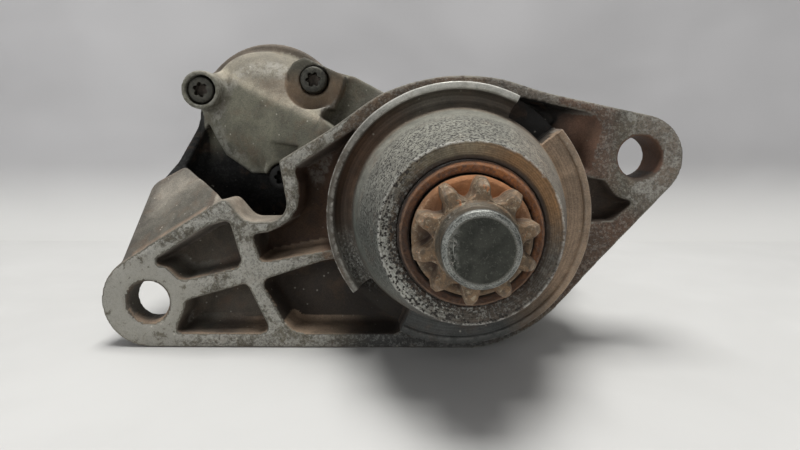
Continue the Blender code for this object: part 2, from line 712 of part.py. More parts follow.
CARRIER_PROFILE = [
    (6.3, 65.5), (27.0, 65.5), (27.0, 61.5), (11.5, 61.5), (10.5, 60.6), (7.0, 60.3),
    (7.0, 18.6), (7.8, 17.8), (7.8, -13.0), (6.8, -14.0), (0.0, -14.0), (0.0, 58.0),
    (6.3, 58.0),
]
GEAR_COVER_PROFILE = [(GEAR_R, 79.4), (GEAR_R, 77.4), (7.2, 77.4), (7.2, 79.4)]


def outer_gear(teeth, phase):
    """The outline of the sun or of a planet."""
    pitch_r = GEAR_MODULE * teeth / 2
    return gear_outline(
        teeth, GEAR_MODULE, GEAR_PRESSURE, pitch_r + SHORT_REACH, pitch_r - LONG_REACH,
        phase=phase, slack=GEAR_SLACK, flank=3,
    )


def planet_phase(way):
    """Turns a planet so that the sun's nearest tooth sits in one of its spaces."""
    step = math.tau / SUN_TEETH
    offset = (round(way / step) * step - way) * SUN_PITCH_R
    space = way + math.pi - offset / PLANET_PITCH_R
    return space + math.pi / PLANET_TEETH


def ring_phase():
    """Turns the ring gear's cutter so that the first planet's outermost tooth fits."""
    way = math.radians(PLANET_ANGLES[0])
    phase = planet_phase(way)
    step = math.tau / PLANET_TEETH
    tooth = phase + round((way - phase) / step) * step
    return way + (tooth - way) * PLANET_PITCH_R / RING_PITCH_R


def build_carrier():
    carrier = turned(CARRIER_PROFILE, steps=20)
    shaft_spline = prism([spline_outline(8, 8.0, 6.9, 9.0)], 18.2, 57.4)
    join(carrier, shaft_spline, solver=MANY_BODIES)
    for x, z in PLANET_SPOTS:
        join(carrier, cylinder(3.0, 64.5, 76.2, x, z, sides=12), solver=MANY_BODIES)
    finish(carrier, "planet_carrier", STEEL)


def build_planets():
    """The origin of each planet is on its own axis."""
    for i, (angle, (x, z)) in enumerate(zip(PLANET_ANGLES, PLANET_SPOTS), 1):
        outline = outer_gear(PLANET_TEETH, planet_phase(math.radians(angle)))
        gear = prism([outline, arc(3.3, 0, 337.5, 15)], GEARS_FRONT, 75.4)
        gear.location.x = x * UNIT
        gear.location.z = z * UNIT
        finish(gear, f"planet_gear_{i}", STEEL, smooth=30)


def build_ring_gear():
    ring = cylinder(GEAR_R, 62.0, 77.0, sides=60)
    outline = gear_outline(
        RING_TEETH, GEAR_MODULE, GEAR_PRESSURE,
        RING_PITCH_R + LONG_REACH, RING_PITCH_R - SHORT_REACH,
        phase=ring_phase(), slack=-0.17, flank=2,
    )
    cut(ring, prism([outline], 60.0, 79.0))
    finish(ring, "ring_gear", PLASTIC, smooth=30)
    finish(turned(GEAR_COVER_PROFILE, steps=20), "gear_cover", ZINC)


# --- motor: yoke, magnets and armature ---------------------------------------------------
YOKE_R = 37.5
YOKE_INNER_R = 34.5
YOKE_FRONT = 80.0
MAGNET_HALF_ANGLE = 33
CORE_R = 25.5
SLOTS = 12
SLOT_ANGLES = [math.tau * (i + 0.5) / SLOTS for i in range(SLOTS)]
YOKE_PROFILE = [
    (YOKE_R, YOKE_REAR), (YOKE_R, YOKE_FRONT), (YOKE_INNER_R, YOKE_FRONT),
    (YOKE_INNER_R, YOKE_REAR),
]
ARMATURE_PROFILE = [
    (0.0, 156.6), (5.2, 156.6), (5.9, 156.0), (5.9, 80.6), (6.4, 80.2), (6.4, 77.9),
    (5.6, 77.2), (5.6, 59.2), (5.0, 58.6), (0.0, 58.6),
]
# (distance out, distance across) of one slot and of the winding bar in it
SLOT = [
    (15.0, -1.5), (23.4, -3.2), (23.4, -1.1), (26.5, -1.1), (26.5, 1.1), (23.4, 1.1),
    (23.4, 3.2), (15.0, 1.5),
]
BAR = [(15.6, -1.15), (22.9, -2.6), (22.9, 2.6), (15.6, 1.15)]
FRONT_TURNS_PROFILE = [
    (23.0, 87.7), (24.2, 86.6), (24.2, 83.4), (22.0, 82.0), (14.0, 82.0), (12.6, 83.4),
    (12.6, 87.7),
]
REAR_TURNS_PROFILE = [
    (23.0, 122.3), (24.2, 123.4), (23.6, 126.2), (21.0, 127.8), (14.0, 127.8),
    (12.6, 126.4), (12.6, 122.3),
]
COMMUTATOR_PROFILE = [
    (6.2, 142.0), (14.0, 142.0), (14.0, 131.6), (16.2, 131.2), (16.2, 128.2), (6.2, 128.2),
]


def build_yoke():
    finish(turned(YOKE_PROFILE, steps=28), "yoke", PAINT)
    for i in range(4):
        middle = 90.0 * i + 45.0
        start, end = middle - MAGNET_HALF_ANGLE, middle + MAGNET_HALF_ANGLE
        outline = arc(34.0, start, end, 7) + arc(26.4, end, start, 7)
        finish(prism([outline], 86.0, 124.0), f"magnet_{i + 1}", FERRITE)


def build_armature_shaft():
    """The shaft carries the sun gear at its front."""
    shaft = turned(ARMATURE_PROFILE, steps=18, closed=False)
    join(shaft, prism([outer_gear(SUN_TEETH, 0.0)], GEARS_FRONT, 76.6))
    finish(shaft, "armature_shaft", STEEL, smooth=30)


def build_armature_core():
    core = cylinder(CORE_R, 88.0, 122.0, sides=30)
    cut(core, cylinder(6.2, 86.0, 124.0, sides=18))
    for angle in SLOT_ANGLES:
        cut(core, prism([radial(SLOT, angle)], 87.0, 123.0))
    finish(core, "armature_core", STEEL)


def build_windings():
    windings = turned(FRONT_TURNS_PROFILE, steps=20)
    rear_turns = turned(REAR_TURNS_PROFILE, steps=20)
    bars = [prism([radial(BAR, angle)], 87.0, 123.0) for angle in SLOT_ANGLES]
    join(windings, *bars, rear_turns)
    finish(windings, "armature_windings", COPPER)
    finish(turned(COMMUTATOR_PROFILE, steps=20), "commutator", COPPER)


# --- motor: brushes ----------------------------------------------------------------------
BRUSH_Y = 135.6
HOLDER_PROFILE = [(34.1, 131.2), (34.1, 129.6), (17.0, 129.6), (17.0, 131.2)]


def radial_block(way, out, y, size):
    """A box of size (outward, along y, across) that points away from the pinion axis."""
    frame = Matrix((way, ALONG, way.cross(ALONG))).transposed()
    return block(way * out + Vector((0, y, 0)), size, frame)


def direction(degrees):
    x, z = polar(1.0, degrees)
    return Vector((x, 0, z))


def build_brushes():
    ways = [direction(90.0 * i) for i in range(4)]
    holder = turned(HOLDER_PROFILE, steps=20)
    for way in ways:
        join(holder, radial_block(way, 25.0, 135.4, (14.4, 9.4, 10.4)))
    for way in ways:
        cut(holder, radial_block(way, 24.0, BRUSH_Y, (13.6, 7.0, 7.8)))
    finish(holder, "brush_holder", ZINC)
    for i, way in enumerate(ways, 1):
        finish(radial_block(way, 19.6, BRUSH_Y, (10.4, 6.4, 7.2)), f"brush_{i}", CARBON)
        spring = coil(
            way * 25.4 + Vector((0, BRUSH_Y, 0)), way,
            radius=2.3, wire_radius=0.4, length=4.7, turns=3, per_turn=6,
        )
        finish(spring, f"brush_spring_{i}", STEEL)


# --- motor: rear cover and through bolts -------------------------------------------------
REAR_END = 160.0
COVER_FRONT = YOKE_REAR + GAP
BUSH_SEAT_R = 9.2
BUSH_R = BUSH_SEAT_R - GAP
LEAD_WAY = direction(140.0)  # where the motor lead enters the rear cover
LEAD_Y = 143.0
REAR_COVER_PROFILE = [
    (0.0, REAR_END + 1.0), (9.6, REAR_END + 1.0), (11.0, REAR_END), (12.0, 157.0),
    (33.0, 156.2), (36.6, 154.6), (38.0, 151.6), (38.0, COVER_FRONT), (34.5, COVER_FRONT),
    (34.5, 151.0), (32.5, 153.0), (12.5, 153.4), (12.5, 150.0), (BUSH_SEAT_R, 150.0),
    (BUSH_SEAT_R, 158.4), (0.0, 158.4),
]
REAR_BUSH_PROFILE = [(BUSH_R, 158.1), (BUSH_R, 150.2), (6.2, 150.2), (6.2, 158.1)]


def lead_point(out):
    """A point on the lead's entry line, this far from the pinion axis."""
    return LEAD_WAY * out + Vector((0, LEAD_Y, 0))


def build_rear_cover():
    cover = turned(REAR_COVER_PROFILE, steps=28)
    for side in SIDES:
        lug = cylinder(BOLT_LUG_R, 148.0, 155.0, side * BOLT_ORBIT, sides=18)
        join(cover, lug, block((side * 39.0, 151.5, 0), (7.0, 6.8, 12.0)))
    for side in SIDES:
        cut(cover, cylinder(3.0, 140.0, 160.0, side * BOLT_ORBIT, sides=12))
    cut(cover, rod(3.6, lead_point(30), lead_point(42), sides=12))
    finish(cover, "rear_cover", PAINT)
    finish(turned(REAR_BUSH_PROFILE, steps=18), "rear_bush", BRONZE)


def build_through_bolts():
    for i, side in enumerate(SIDES, 1):
        bolt = cylinder(4.9, 155.3, 160.2, side * BOLT_ORBIT, sides=6)
        join(bolt, cylinder(BOLT_R, 67.0, 156.0, side * BOLT_ORBIT, sides=12))
        finish(bolt, f"through_bolt_{i}", ZINC)


# --- solenoid ----------------------------------------------------------------------------
SOLENOID_R = 26.0
CASE_FRONT = RIM_REAR + GAP
CASE_REAR = 104.0
CAP_FRONT = CASE_REAR + GAP
WINDING_R = 23.3
CASE_PROFILE = [
    (SOLENOID_R, CASE_REAR), (SOLENOID_R, CASE_FRONT), (11.6, CASE_FRONT), (11.6, 62.3),
    (24.0, 62.3), (24.0, CASE_REAR),
]
COIL_PROFILE = [
    (WINDING_R, 95.4), (WINDING_R, 62.8), (11.7, 62.8), (11.7, 83.0), (11.9, 83.2),
    (11.9, 95.4),
]
SOLENOID_CORE_PROFILE = [
    (3.0, 101.0), (WINDING_R, 101.0), (WINDING_R, 95.8), (11.3, 95.8), (11.3, 84.2),
    (10.8, 83.7), (3.0, 83.7),
]
PLUNGER_PROFILE = [
    (6.0, 72.0), (10.4, 72.0), (11.0, 71.4), (11.0, 52.0), (9.6, 50.6), (7.0, 50.4),
    (7.0, 37.6), (6.4, 37.0), (0.0, 37.0), (0.0, 58.5), (6.0, 58.5),
]
CONTACT_ROD_PROFILE = [
    (0.0, 108.6), (2.6, 108.6), (2.6, 107.6), (12.0, 107.6), (12.0, 105.8), (2.6, 105.8),
    (2.6, 81.0), (2.2, 80.6), (0.0, 80.6),
]
CAP_PROFILE = [
    (0.0, 122.0), (19.0, 122.0), (22.5, 120.6), (24.6, 117.0), (25.4, 108.0),
    (25.4, CAP_FRONT), (23.2, CAP_FRONT), (23.2, 101.3), (20.6, 101.3), (20.6, 117.6),
    (0.0, 117.6),
]
SCREW_R = 2.6
SCREW_HEAD_R = 4.55
SCREW_PROFILE = [
    (0.0, 60.6), (2.2, 60.6), (SCREW_R, 60.2), (SCREW_R, 35.7), (SCREW_HEAD_R, 35.7),
    (SCREW_HEAD_R, 30.7), (SCREW_HEAD_R - 0.7, 30.0), (0.0, 30.0),
]
STUD_OFFSET = 12.0
STUD_HOLE_R = 4.3
STUD_SPOTS = {}
for stud_name, stud_side in (("battery", 1), ("motor", -1)):
    reach = stud_side * STUD_OFFSET
    stud_point = lever_point(AXES_APART + reach * 0.35, reach * 0.94, 0)
    STUD_SPOTS[stud_name] = (stud_point.x, stud_point.z)
BLADE_OUT = AXES_APART + 15.0
BLADE_ACROSS = -8.0


def build_solenoid_case():
    case = turned(CASE_PROFILE, *SOLENOID_AXIS)
    for x, z in SCREW_PLACES:
        cut(case, cylinder(SCREW_R + GAP, 50.0, 61.2, x, z, sides=12))
    finish(case, "solenoid_case", ZINC)


def build_solenoid_inside():
    finish(turned(COIL_PROFILE, *SOLENOID_AXIS, steps=20), "solenoid_coil", COPPER)
    finish(turned(SOLENOID_CORE_PROFILE, *SOLENOID_AXIS, steps=20), "solenoid_core", STEEL)
    plunger = turned(PLUNGER_PROFILE, *SOLENOID_AXIS, steps=20)
    cut(plunger, lever_block(AXES_APART - 4.0, 42.6, (20.0, 5.8, 16.0)))
    finish(plunger, "plunger", STEEL)
    spring = coil(
        (SOLENOID_X, 59.3, SOLENOID_Z), ALONG,
        radius=4.5, wire_radius=0.6, length=23.6, turns=6, per_turn=8,
    )
    finish(spring, "plunger_spring", STEEL)
    contact_rod = turned(CONTACT_ROD_PROFILE, *SOLENOID_AXIS, steps=16, closed=False)
    finish(contact_rod, "contact_rod", COPPER)


def build_solenoid_cap():
    cap = turned(CAP_PROFILE, *SOLENOID_AXIS, steps=20, closed=False)
    for x, z in STUD_SPOTS.values():
        join(cap, cylinder(7.4, 121.0, 125.0, x, z, sides=18))
    join(cap, lever_block(BLADE_OUT, 124.0, (9.0, 6.0, 4.6), BLADE_ACROSS))
    for x, z in STUD_SPOTS.values():
        cut(cap, cylinder(STUD_HOLE_R, 110.0, 130.0, x, z, sides=14))
    cut(cap, lever_block(BLADE_OUT, 122.0, (6.9, 14.0, 1.5), BLADE_ACROSS))
    finish(cap, "solenoid_cap", PLASTIC)


def build_terminals():
    for name, (x, z) in STUD_SPOTS.items():
        stud = cylinder(3.9, 112.4, 141.0, x, z, sides=14)
        join(stud, cylinder(6.4, 111.4, 114.4, x, z, sides=14))
        finish(stud, f"{name}_stud", COPPER)
        nut = cylinder(7.5, 125.4, 131.4, x, z, sides=6)
        cut(nut, cylinder(STUD_HOLE_R, 124.0, 133.0, x, z, sides=14))
        finish(nut, f"{name}_nut", ZINC)
    blade = lever_block(BLADE_OUT, 124.6, (6.3, 17.0, 0.8), BLADE_ACROSS)
    finish(blade, "control_blade", BRONZE)


def build_motor_lead():
    """An eye on the motor stud and a wire that bends over into the rear cover."""
    x, z = STUD_SPOTS["motor"]
    eye = block((x, 132.6, z), (12.0, 1.6, 12.0))
    cut(eye, cylinder(STUD_HOLE_R, 130.0, 135.0, x, z, sides=14))
    inlet = lead_point(39.5)
    outside = inlet + LEAD_WAY * 6
    start = Vector((x + 4.6, 133.6, z - 4.0))
    rise = start + Vector((2.0, 4.5, -1.5))
    middle = (rise + outside) / 2 + Vector((0, 6.0, 3.0))
    points = [start, rise]
    for i in range(1, 6):
        f = i / 6
        points.append(rise * (1 - f) ** 2 + middle * 2 * f * (1 - f) + outside * f * f)
    points += [outside, inlet, lead_point(31.0)]
    join(eye, wire(points, 2.6))
    finish(eye, "motor_lead", COPPER)


def build_solenoid_screws():
    for i, (x, z) in enumerate(SCREW_PLACES, 1):
        screw = turned(SCREW_PROFILE, x, z, steps=16, closed=False)
        star = []  # six-pointed socket
        for k in range(12):
            out_x, out_z = polar(1.75 if k % 2 else 2.55, 30 * k)
            star.append((x + out_x, z + out_z))
        cut(screw, prism([star], 28.0, 33.0))
        finish(screw, f"solenoid_screw_{i}", DARK_STEEL)


build_housing()
build_nose()
build_pinion()
build_clutch()
build_fork()
build_fork_bearing()
build_carrier()
build_planets()
build_ring_gear()
build_yoke()
build_armature_shaft()
build_armature_core()
build_windings()
build_brushes()
build_rear_cover()
build_through_bolts()
build_solenoid_case()
build_solenoid_inside()
build_solenoid_cap()
build_terminals()
build_motor_lead()
build_solenoid_screws()

# the frame's origin is the centre of the stub's front face
for obj in bpy.data.objects:
    obj.location.y -= STUB_FRONT * UNIT
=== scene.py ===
# A starter motor standing on a pale sheet. Its shaft lies along y: the pinion and nose are at
# the front (-y), the motor at the rear (+y), z is up, and the shaft's axis is x = z = 0. The
# solenoid lies beside the motor, parallel to it. Shapes are drawn in millimetres, with y
# counted from the mounting face of the ears; the frame itself is in metres.
import json
import math
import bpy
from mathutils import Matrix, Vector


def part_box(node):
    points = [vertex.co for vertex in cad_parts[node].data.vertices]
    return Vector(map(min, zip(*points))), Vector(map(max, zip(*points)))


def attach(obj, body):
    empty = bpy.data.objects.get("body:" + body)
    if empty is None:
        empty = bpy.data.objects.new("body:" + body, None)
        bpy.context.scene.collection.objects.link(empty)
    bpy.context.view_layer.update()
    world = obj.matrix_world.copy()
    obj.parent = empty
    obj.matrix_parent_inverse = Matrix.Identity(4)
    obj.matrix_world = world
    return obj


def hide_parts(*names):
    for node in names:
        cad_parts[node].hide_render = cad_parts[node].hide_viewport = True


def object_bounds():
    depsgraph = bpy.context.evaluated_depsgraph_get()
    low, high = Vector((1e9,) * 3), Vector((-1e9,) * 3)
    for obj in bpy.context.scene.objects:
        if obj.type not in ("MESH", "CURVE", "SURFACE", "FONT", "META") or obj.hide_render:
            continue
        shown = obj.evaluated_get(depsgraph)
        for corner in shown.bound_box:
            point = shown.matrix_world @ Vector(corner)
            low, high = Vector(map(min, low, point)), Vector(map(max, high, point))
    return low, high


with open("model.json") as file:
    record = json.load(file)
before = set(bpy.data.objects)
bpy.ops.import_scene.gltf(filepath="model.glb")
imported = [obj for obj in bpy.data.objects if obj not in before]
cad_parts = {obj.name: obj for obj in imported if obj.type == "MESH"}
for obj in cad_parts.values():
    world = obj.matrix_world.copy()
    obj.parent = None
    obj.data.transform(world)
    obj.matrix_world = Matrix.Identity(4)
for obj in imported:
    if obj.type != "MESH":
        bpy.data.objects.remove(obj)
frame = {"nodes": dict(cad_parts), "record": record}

from types import SimpleNamespace

import bmesh
import bpy
import numpy as np
from mathutils import Vector

cad_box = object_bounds()

# ------------------------------------------------------------------ places and main sizes
MM = 0.001
EAR_MOUNT = next(m for m in frame["record"]["mounts"] if m["name"] == "ear_left")
MOUNT_Y = EAR_MOUNT["pos_m"][1] / MM


def centre_xz(node):
    """The middle of a node's box in x and z."""
    lowest, highest = (np.array(corner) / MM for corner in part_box(node))
    x, _, z = (lowest + highest) / 2
    return x, z


SOLENOID = centre_xz("solenoid_case")
SCREWS = [centre_xz(f"solenoid_screw_{i}") for i in (1, 2, 3)]
STUDS = {name: centre_xz(f"{name}_stud") for name in ("battery", "motor")}
BLADE = centre_xz("control_blade")
APART = math.hypot(*SOLENOID)
TOWARDS = (SOLENOID[0] / APART, SOLENOID[1] / APART)   # direction from shaft to solenoid

LEFT_EAR = (-95.2, -28.1)
RIGHT_EAR = (54.8, 16.6)
BOLT_X = 43.0             # the through bolts stand this far left and right of the shaft
DRUM_END = 79.6
RIM_R, RIM_FRONT, RIM_REAR = 27.4, 50.0, 54.0   # round the solenoid's opening
LEAD_ANGLE, LEAD_Y = 140.0, 143.0               # where the lead enters the rear cover


# ------------------------------------------------------------------ field helpers
def smin(first, second, blend):
    """The union of two fields with a fillet of about the given size."""
    near = np.maximum(blend - np.abs(first - second), 0.0) / blend
    return np.minimum(first, second) - near * near * blend * 0.25


def smax(first, second, blend):
    """The intersection of two fields with a rounded edge."""
    return -smin(-first, -second, blend)


def clip01(value):
    return np.clip(value, 0, 1)


def band(value, centre, half):
    """1 at the centre, falling to 0 at half to either side."""
    return clip01(1 - np.abs(value - centre) / half)


def slab(value, middle, half):
    return np.abs(value - middle) - half


def away(x, z, centre=(0.0, 0.0)):
    return np.hypot(x - centre[0], z - centre[1])


def angle_gap(degrees, centre):
    return np.abs((degrees - centre + 180) % 360 - 180)


def lever_frame(x, z):
    """Distance along the line from shaft to solenoid, and at right angles to it."""
    return x * TOWARDS[0] + z * TOWARDS[1], x * TOWARDS[1] - z * TOWARDS[0]


def turned_axes(x, z, degrees):
    """Distance along a direction that leaves the shaft at an angle, and across it."""
    turn = math.radians(degrees)
    return (x * math.cos(turn) + z * math.sin(turn),
            -x * math.sin(turn) + z * math.cos(turn))


def plane(x, y, z, normal, point):
    length = math.sqrt(sum(part * part for part in normal))
    return (normal[0] * (x - point[0]) + normal[1] * (y - point[1])
            + normal[2] * (z - point[2])) / length


def polygon_field(points, x, z):
    """Signed distance to a closed outline, negative inside."""
    best = np.full(np.broadcast(x, z).shape, 1e9, np.float32)
    sign = np.ones_like(best)
    for i, (start_x, start_z) in enumerate(points):
        end_x, end_z = points[(i + 1) % len(points)]
        edge_x, edge_z = end_x - start_x, end_z - start_z
        from_x, from_z = x - start_x, z - start_z
        share = np.clip((from_x * edge_x + from_z * edge_z)
                        / (edge_x * edge_x + edge_z * edge_z), 0, 1)
        off_x, off_z = from_x - edge_x * share, from_z - edge_z * share
        best = np.minimum(best, off_x * off_x + off_z * off_z)
        above, below = z >= start_z, z < end_z
        beside = edge_x * from_z > edge_z * from_x
        flip = (above & below & beside) | (~above & ~below & ~beside)
        sign = np.where(flip, -sign, sign)
    return (sign * np.sqrt(best)).astype(np.float32)


def ripple(x, y, z, scale, seed):
    """Smooth pseudo-random values in about -1..1, the same on every run."""
    random = np.random.default_rng(seed)
    total = np.zeros_like(x)
    for k in range(5):
        wave = random.normal(size=3)
        wave *= scale * (1.7 ** k) / np.linalg.norm(wave)
        phase = random.uniform(0, math.tau)
        total += np.sin(x * wave[0] + y * wave[1] + z * wave[2] + phase) * 0.62 ** k
    return total / 2.2


# ------------------------------------------------------------------ outlines and profiles
def fillet(corners, chord, fewest, profile=False):
    """Corners (across, up, radius) turned into arcs. A profile is open and keeps its ends."""
    points = []
    count = len(corners)
    for i, (across, up, radius) in enumerate(corners):
        if radius <= 0 or (profile and i in (0, count - 1)):
            points.append((across, up))
            continue
        corner = Vector((across, up))
        before = Vector(corners[i - 1][:2]) - corner
        after = Vector(corners[(i + 1) % count][:2]) - corner
        half = before.angle(after) / 2
        if profile and abs(half - math.pi / 2) < 0.02:
            points.append((across, up))
            continue
        reach = radius / math.tan(half)
        start, end = corner + before.normalized() * reach, corner + after.normalized() * reach
        inward = (before.normalized() + after.normalized()).normalized()
        centre = corner + inward * (radius / math.sin(half))
        first, last = start - centre, end - centre
        sweep = math.atan2(first.x * last.y - first.y * last.x, first.dot(last))
        steps = max(fewest, round(abs(sweep) * radius / chord))
        turn = math.atan2(first.y, first.x)
        points += [(centre.x + radius * math.cos(turn + sweep * k / steps),
                    centre.y + radius * math.sin(turn + sweep * k / steps))
                   for k in range(steps + 1)]
    return points


def rounded(corners):
    """A closed (x, z) outline with rounded corners."""
    return fillet(corners, chord=0.8, fewest=3)


def bevelled(corners, chord):
    """An (r, y) lathe profile with rounded corners."""
    return fillet(corners, chord, fewest=2, profile=True)


def refine(profile, step):
    """The profile with no stretch longer than step."""
    points = [profile[0]]
    for start, end in zip(profile, profile[1:]):
        pieces = max(1, math.ceil(math.hypot(end[0] - start[0], end[1] - start[1]) / step))
        points += [(start[0] + (end[0] - start[0]) * i / pieces,
                    start[1] + (end[1] - start[1]) * i / pieces)
                   for i in range(1, pieces + 1)]
    return points


def arc(radius, start, end, steps):
    """Points of an arc about the shaft, from one angle in degrees to another."""
    turns = [math.radians(start + (end - start) * i / steps) for i in range(steps + 1)]
    return [(radius * math.cos(turn), radius * math.sin(turn)) for turn in turns]


# ------------------------------------------------------------------ meshes
def surface_nets(field, axes):
    """Vertices and quads of the zero level of a field sampled on a rectilinear grid."""
    inside = field < 0
    shape = field.shape
    corners = [(i, j, k) for k in (0, 1) for j in (0, 1) for i in (0, 1)]
    corners_in = np.zeros([size - 1 for size in shape], np.uint8)
    for corner in corners:
        corners_in += inside[tuple(slice(corner[m], shape[m] - 1 + corner[m]) for m in range(3))]
    active = (corners_in > 0) & (corners_in < 8)
    cells = np.argwhere(active)
    number = np.full(active.shape, -1, np.int64)
    number[active] = np.arange(len(cells))

    # each vertex is the mean of the crossings on its cell's edges
    total = np.zeros((len(cells), 3))
    count = np.zeros(len(cells))
    values = [field[tuple((cells + corner).T)] for corner in corners]
    for p in range(8):
        for q in range(p + 1, 8):
            along = [corners[q][m] - corners[p][m] for m in range(3)]
            if sum(abs(part) for part in along) != 1:
                continue
            start, end = values[p], values[q]
            crossed = (start < 0) != (end < 0)
            share = np.where(crossed, start / np.where(crossed, start - end, 1), 0)
            for m in range(3):
                total[:, m] += np.where(crossed, corners[p][m] + along[m] * share, 0)
            count += crossed
    mean = total / count[:, None]
    verts = np.empty((len(cells), 3))
    for m, axis in enumerate(axes):
        base = cells[:, m]
        verts[:, m] = axis[base] + mean[:, m] * (axis[base + 1] - axis[base])

    # a quad round every grid edge that the surface crosses
    quads = []
    unit = np.eye(3, dtype=int)
    for m in range(3):
        first, second = unit[(m + 1) % 3], unit[(m + 2) % 3]
        part = [slice(1, -1)] * 3
        part[m] = slice(None, -1)
        start = field[tuple(part)]
        part[m] = slice(1, None)
        end = field[tuple(part)]
        edges = np.argwhere((start < 0) != (end < 0))
        outward = start[tuple(edges.T)] < 0
        cell = edges + first + second
        quad = np.stack([number[tuple((cell - back).T)]
                         for back in (first + second, second, 0 * first, first)], 1)
        quad[~outward] = quad[~outward][:, ::-1]
        quads.append(quad)
    return verts, np.concatenate(quads)


def mesh_object(name, verts, faces):
    """A smooth object from vertices in millimetres, and an array of quads or a list of faces."""
    verts = np.asarray(verts, float) * MM
    verts[:, 1] += MOUNT_Y * MM
    mesh = bpy.data.meshes.new(name)
    if isinstance(faces, np.ndarray):
        mesh.vertices.add(len(verts))
        mesh.vertices.foreach_set("co", verts.astype(np.float32).ravel())
        mesh.loops.add(faces.size)
        mesh.loops.foreach_set("vertex_index", faces.astype(np.int32).ravel())
        mesh.polygons.add(len(faces))
        starts = np.arange(len(faces)) * faces.shape[1]
        mesh.polygons.foreach_set("loop_start", starts.astype(np.int32))
        mesh.update(calc_edges=True)
        mesh.validate()
    else:
        mesh.from_pydata(verts.tolist(), [], faces)
        mesh.update()
    obj = bpy.data.objects.new(name, mesh)
    bpy.context.scene.collection.objects.link(obj)
    mesh.shade_smooth()
    return obj


def grid_faces(rows, cols, wrap_rows, wrap_cols):
    row, col = np.meshgrid(np.arange(rows if wrap_rows else rows - 1),
                           np.arange(cols if wrap_cols else cols - 1), indexing="ij")
    next_row, next_col = (row + 1) % rows, (col + 1) % cols
    return np.stack([row * cols + col, row * cols + next_col,
                     next_row * cols + next_col, next_row * cols + col], -1).reshape(-1, 4)


def capped_tube(name, rings, ends):
    """Rings of equally many points joined up, closed by fans about the two end points."""
    count = len(rings[0])
    verts = [tuple(point) for ring in rings for point in ring] + [tuple(end) for end in ends]
    start, end = len(verts) - 2, len(verts) - 1
    last = (len(rings) - 1) * count
    faces = grid_faces(len(rings), count, False, True).tolist()
    faces += [(start, (k + 1) % count, k) for k in range(count)]
    faces += [(end, last + k, last + (k + 1) % count) for k in range(count)]
    return mesh_object(name, verts, faces)


def tidy(obj, sharp):
    """Weld doubled points, turn the faces outwards and split normals at sharp edges."""
    mesh = bmesh.new()
    mesh.from_mesh(obj.data)
    bmesh.ops.remove_doubles(mesh, verts=mesh.verts, dist=0.004 * MM)
    bmesh.ops.dissolve_degenerate(mesh, edges=mesh.edges, dist=0.002 * MM)
    bmesh.ops.recalc_face_normals(mesh, faces=mesh.faces)
    mesh.to_mesh(obj.data)
    mesh.free()
    obj.data.shade_smooth()
    obj.data.set_sharp_from_angle(angle=math.radians(sharp))


def turned(name, profile, centre=(0.0, 0.0), steps=128, closed=False, sharp=40.0,
           change=None, angles=None):
    """A lathe piece. change(turn, radius, y, index) lets the profile vary round the axis."""
    if angles is None:
        angles = np.linspace(0, math.tau, steps, endpoint=False)
    profile = np.array(profile, float)
    turn, index = np.meshgrid(angles, np.arange(len(profile)), indexing="ij")
    radius, y = profile[index, 0], profile[index, 1]
    if change is not None:
        radius, y = change(turn, radius, y, index)
    verts = np.stack([centre[0] + radius * np.cos(turn), y,
                      centre[1] + radius * np.sin(turn)], -1).reshape(-1, 3)
    obj = mesh_object(name, verts, grid_faces(len(angles), len(profile), True, closed))
    tidy(obj, sharp)
    return obj


def merge(name, objs, sharp):
    """One object out of several, keeping their point attributes."""
    joined = bmesh.new()
    mesh = bpy.data.meshes.new(name)
    for obj in objs:
        joined.from_mesh(obj.data)
    bmesh.ops.recalc_face_normals(joined, faces=joined.faces)
    joined.to_mesh(mesh)
    joined.free()
    for obj in objs:
        bpy.data.objects.remove(obj)
    obj = bpy.data.objects.new(name, mesh)
    bpy.context.scene.collection.objects.link(obj)
    mesh.shade_smooth()
    mesh.set_sharp_from_angle(angle=math.radians(sharp))
    return obj


def thread(name, centre, radius, y_range, pitch, depth, steps, per, plain):
    """A capped rod with a screw thread, smooth where y lies within plain."""
    start, end = y_range
    rows = int((end - start) / pitch * per)
    turn, y = np.meshgrid(np.linspace(0, math.tau, steps, endpoint=False),
                          np.linspace(start, end, rows + 1), indexing="ij")
    phase = (y / pitch + turn / math.tau) % 1.0
    skin = radius - depth * (1 - np.abs(phase * 2 - 1)) ** 1.2
    skin = np.where((y > plain[0]) & (y < plain[1]), radius - 0.02, skin)
    skin = np.minimum(skin, radius - 0.5 + np.minimum(y - start, end - y))
    verts = np.stack([centre[0] + skin * np.cos(turn), y,
                      centre[1] + skin * np.sin(turn)], -1).reshape(-1, 3)
    count = len(verts)
    verts = np.vstack([verts, [(centre[0], start, centre[1]), (centre[0], end, centre[1])]])
    faces = grid_faces(steps, rows + 1, True, False).tolist()
    for i in range(steps):
        j = (i + 1) % steps
        faces.append((count, j * (rows + 1), i * (rows + 1)))
        faces.append((count + 1, i * (rows + 1) + rows, j * (rows + 1) + rows))
    return mesh_object(name, verts, faces)


# ------------------------------------------------------------------ point attributes
def write(obj, **channels):
    """Store numbers or colours on the points, under the keywords' names."""
    for name, values in channels.items():
        values = np.asarray(values, np.float32)
        kind = "FLOAT_COLOR" if values.ndim == 2 else "FLOAT"
        attributes = obj.data.attributes
        channel = attributes.get(name) or attributes.new(name, kind, "POINT")
        if kind == "FLOAT":
            channel.data.foreach_set("value", values)
        else:
            full = np.ones((len(values), 4), np.float32)
            full[:, :3] = values[:, :3]
            channel.data.foreach_set("color", full.ravel())


def spread(obj, dirt=0.0, wear=0.0):
    """Dirt and painted shade, and wear, each one number or one per point."""
    count = len(obj.data.vertices)
    write(obj, dirt=np.full(count, dirt), wear=np.full(count, wear))


def points_of(obj):
    points = np.zeros(len(obj.data.vertices) * 3, np.float32)
    obj.data.vertices.foreach_get("co", points)
    points = points.reshape(-1, 3) / MM
    points[:, 1] -= MOUNT_Y
    return points.astype(float)


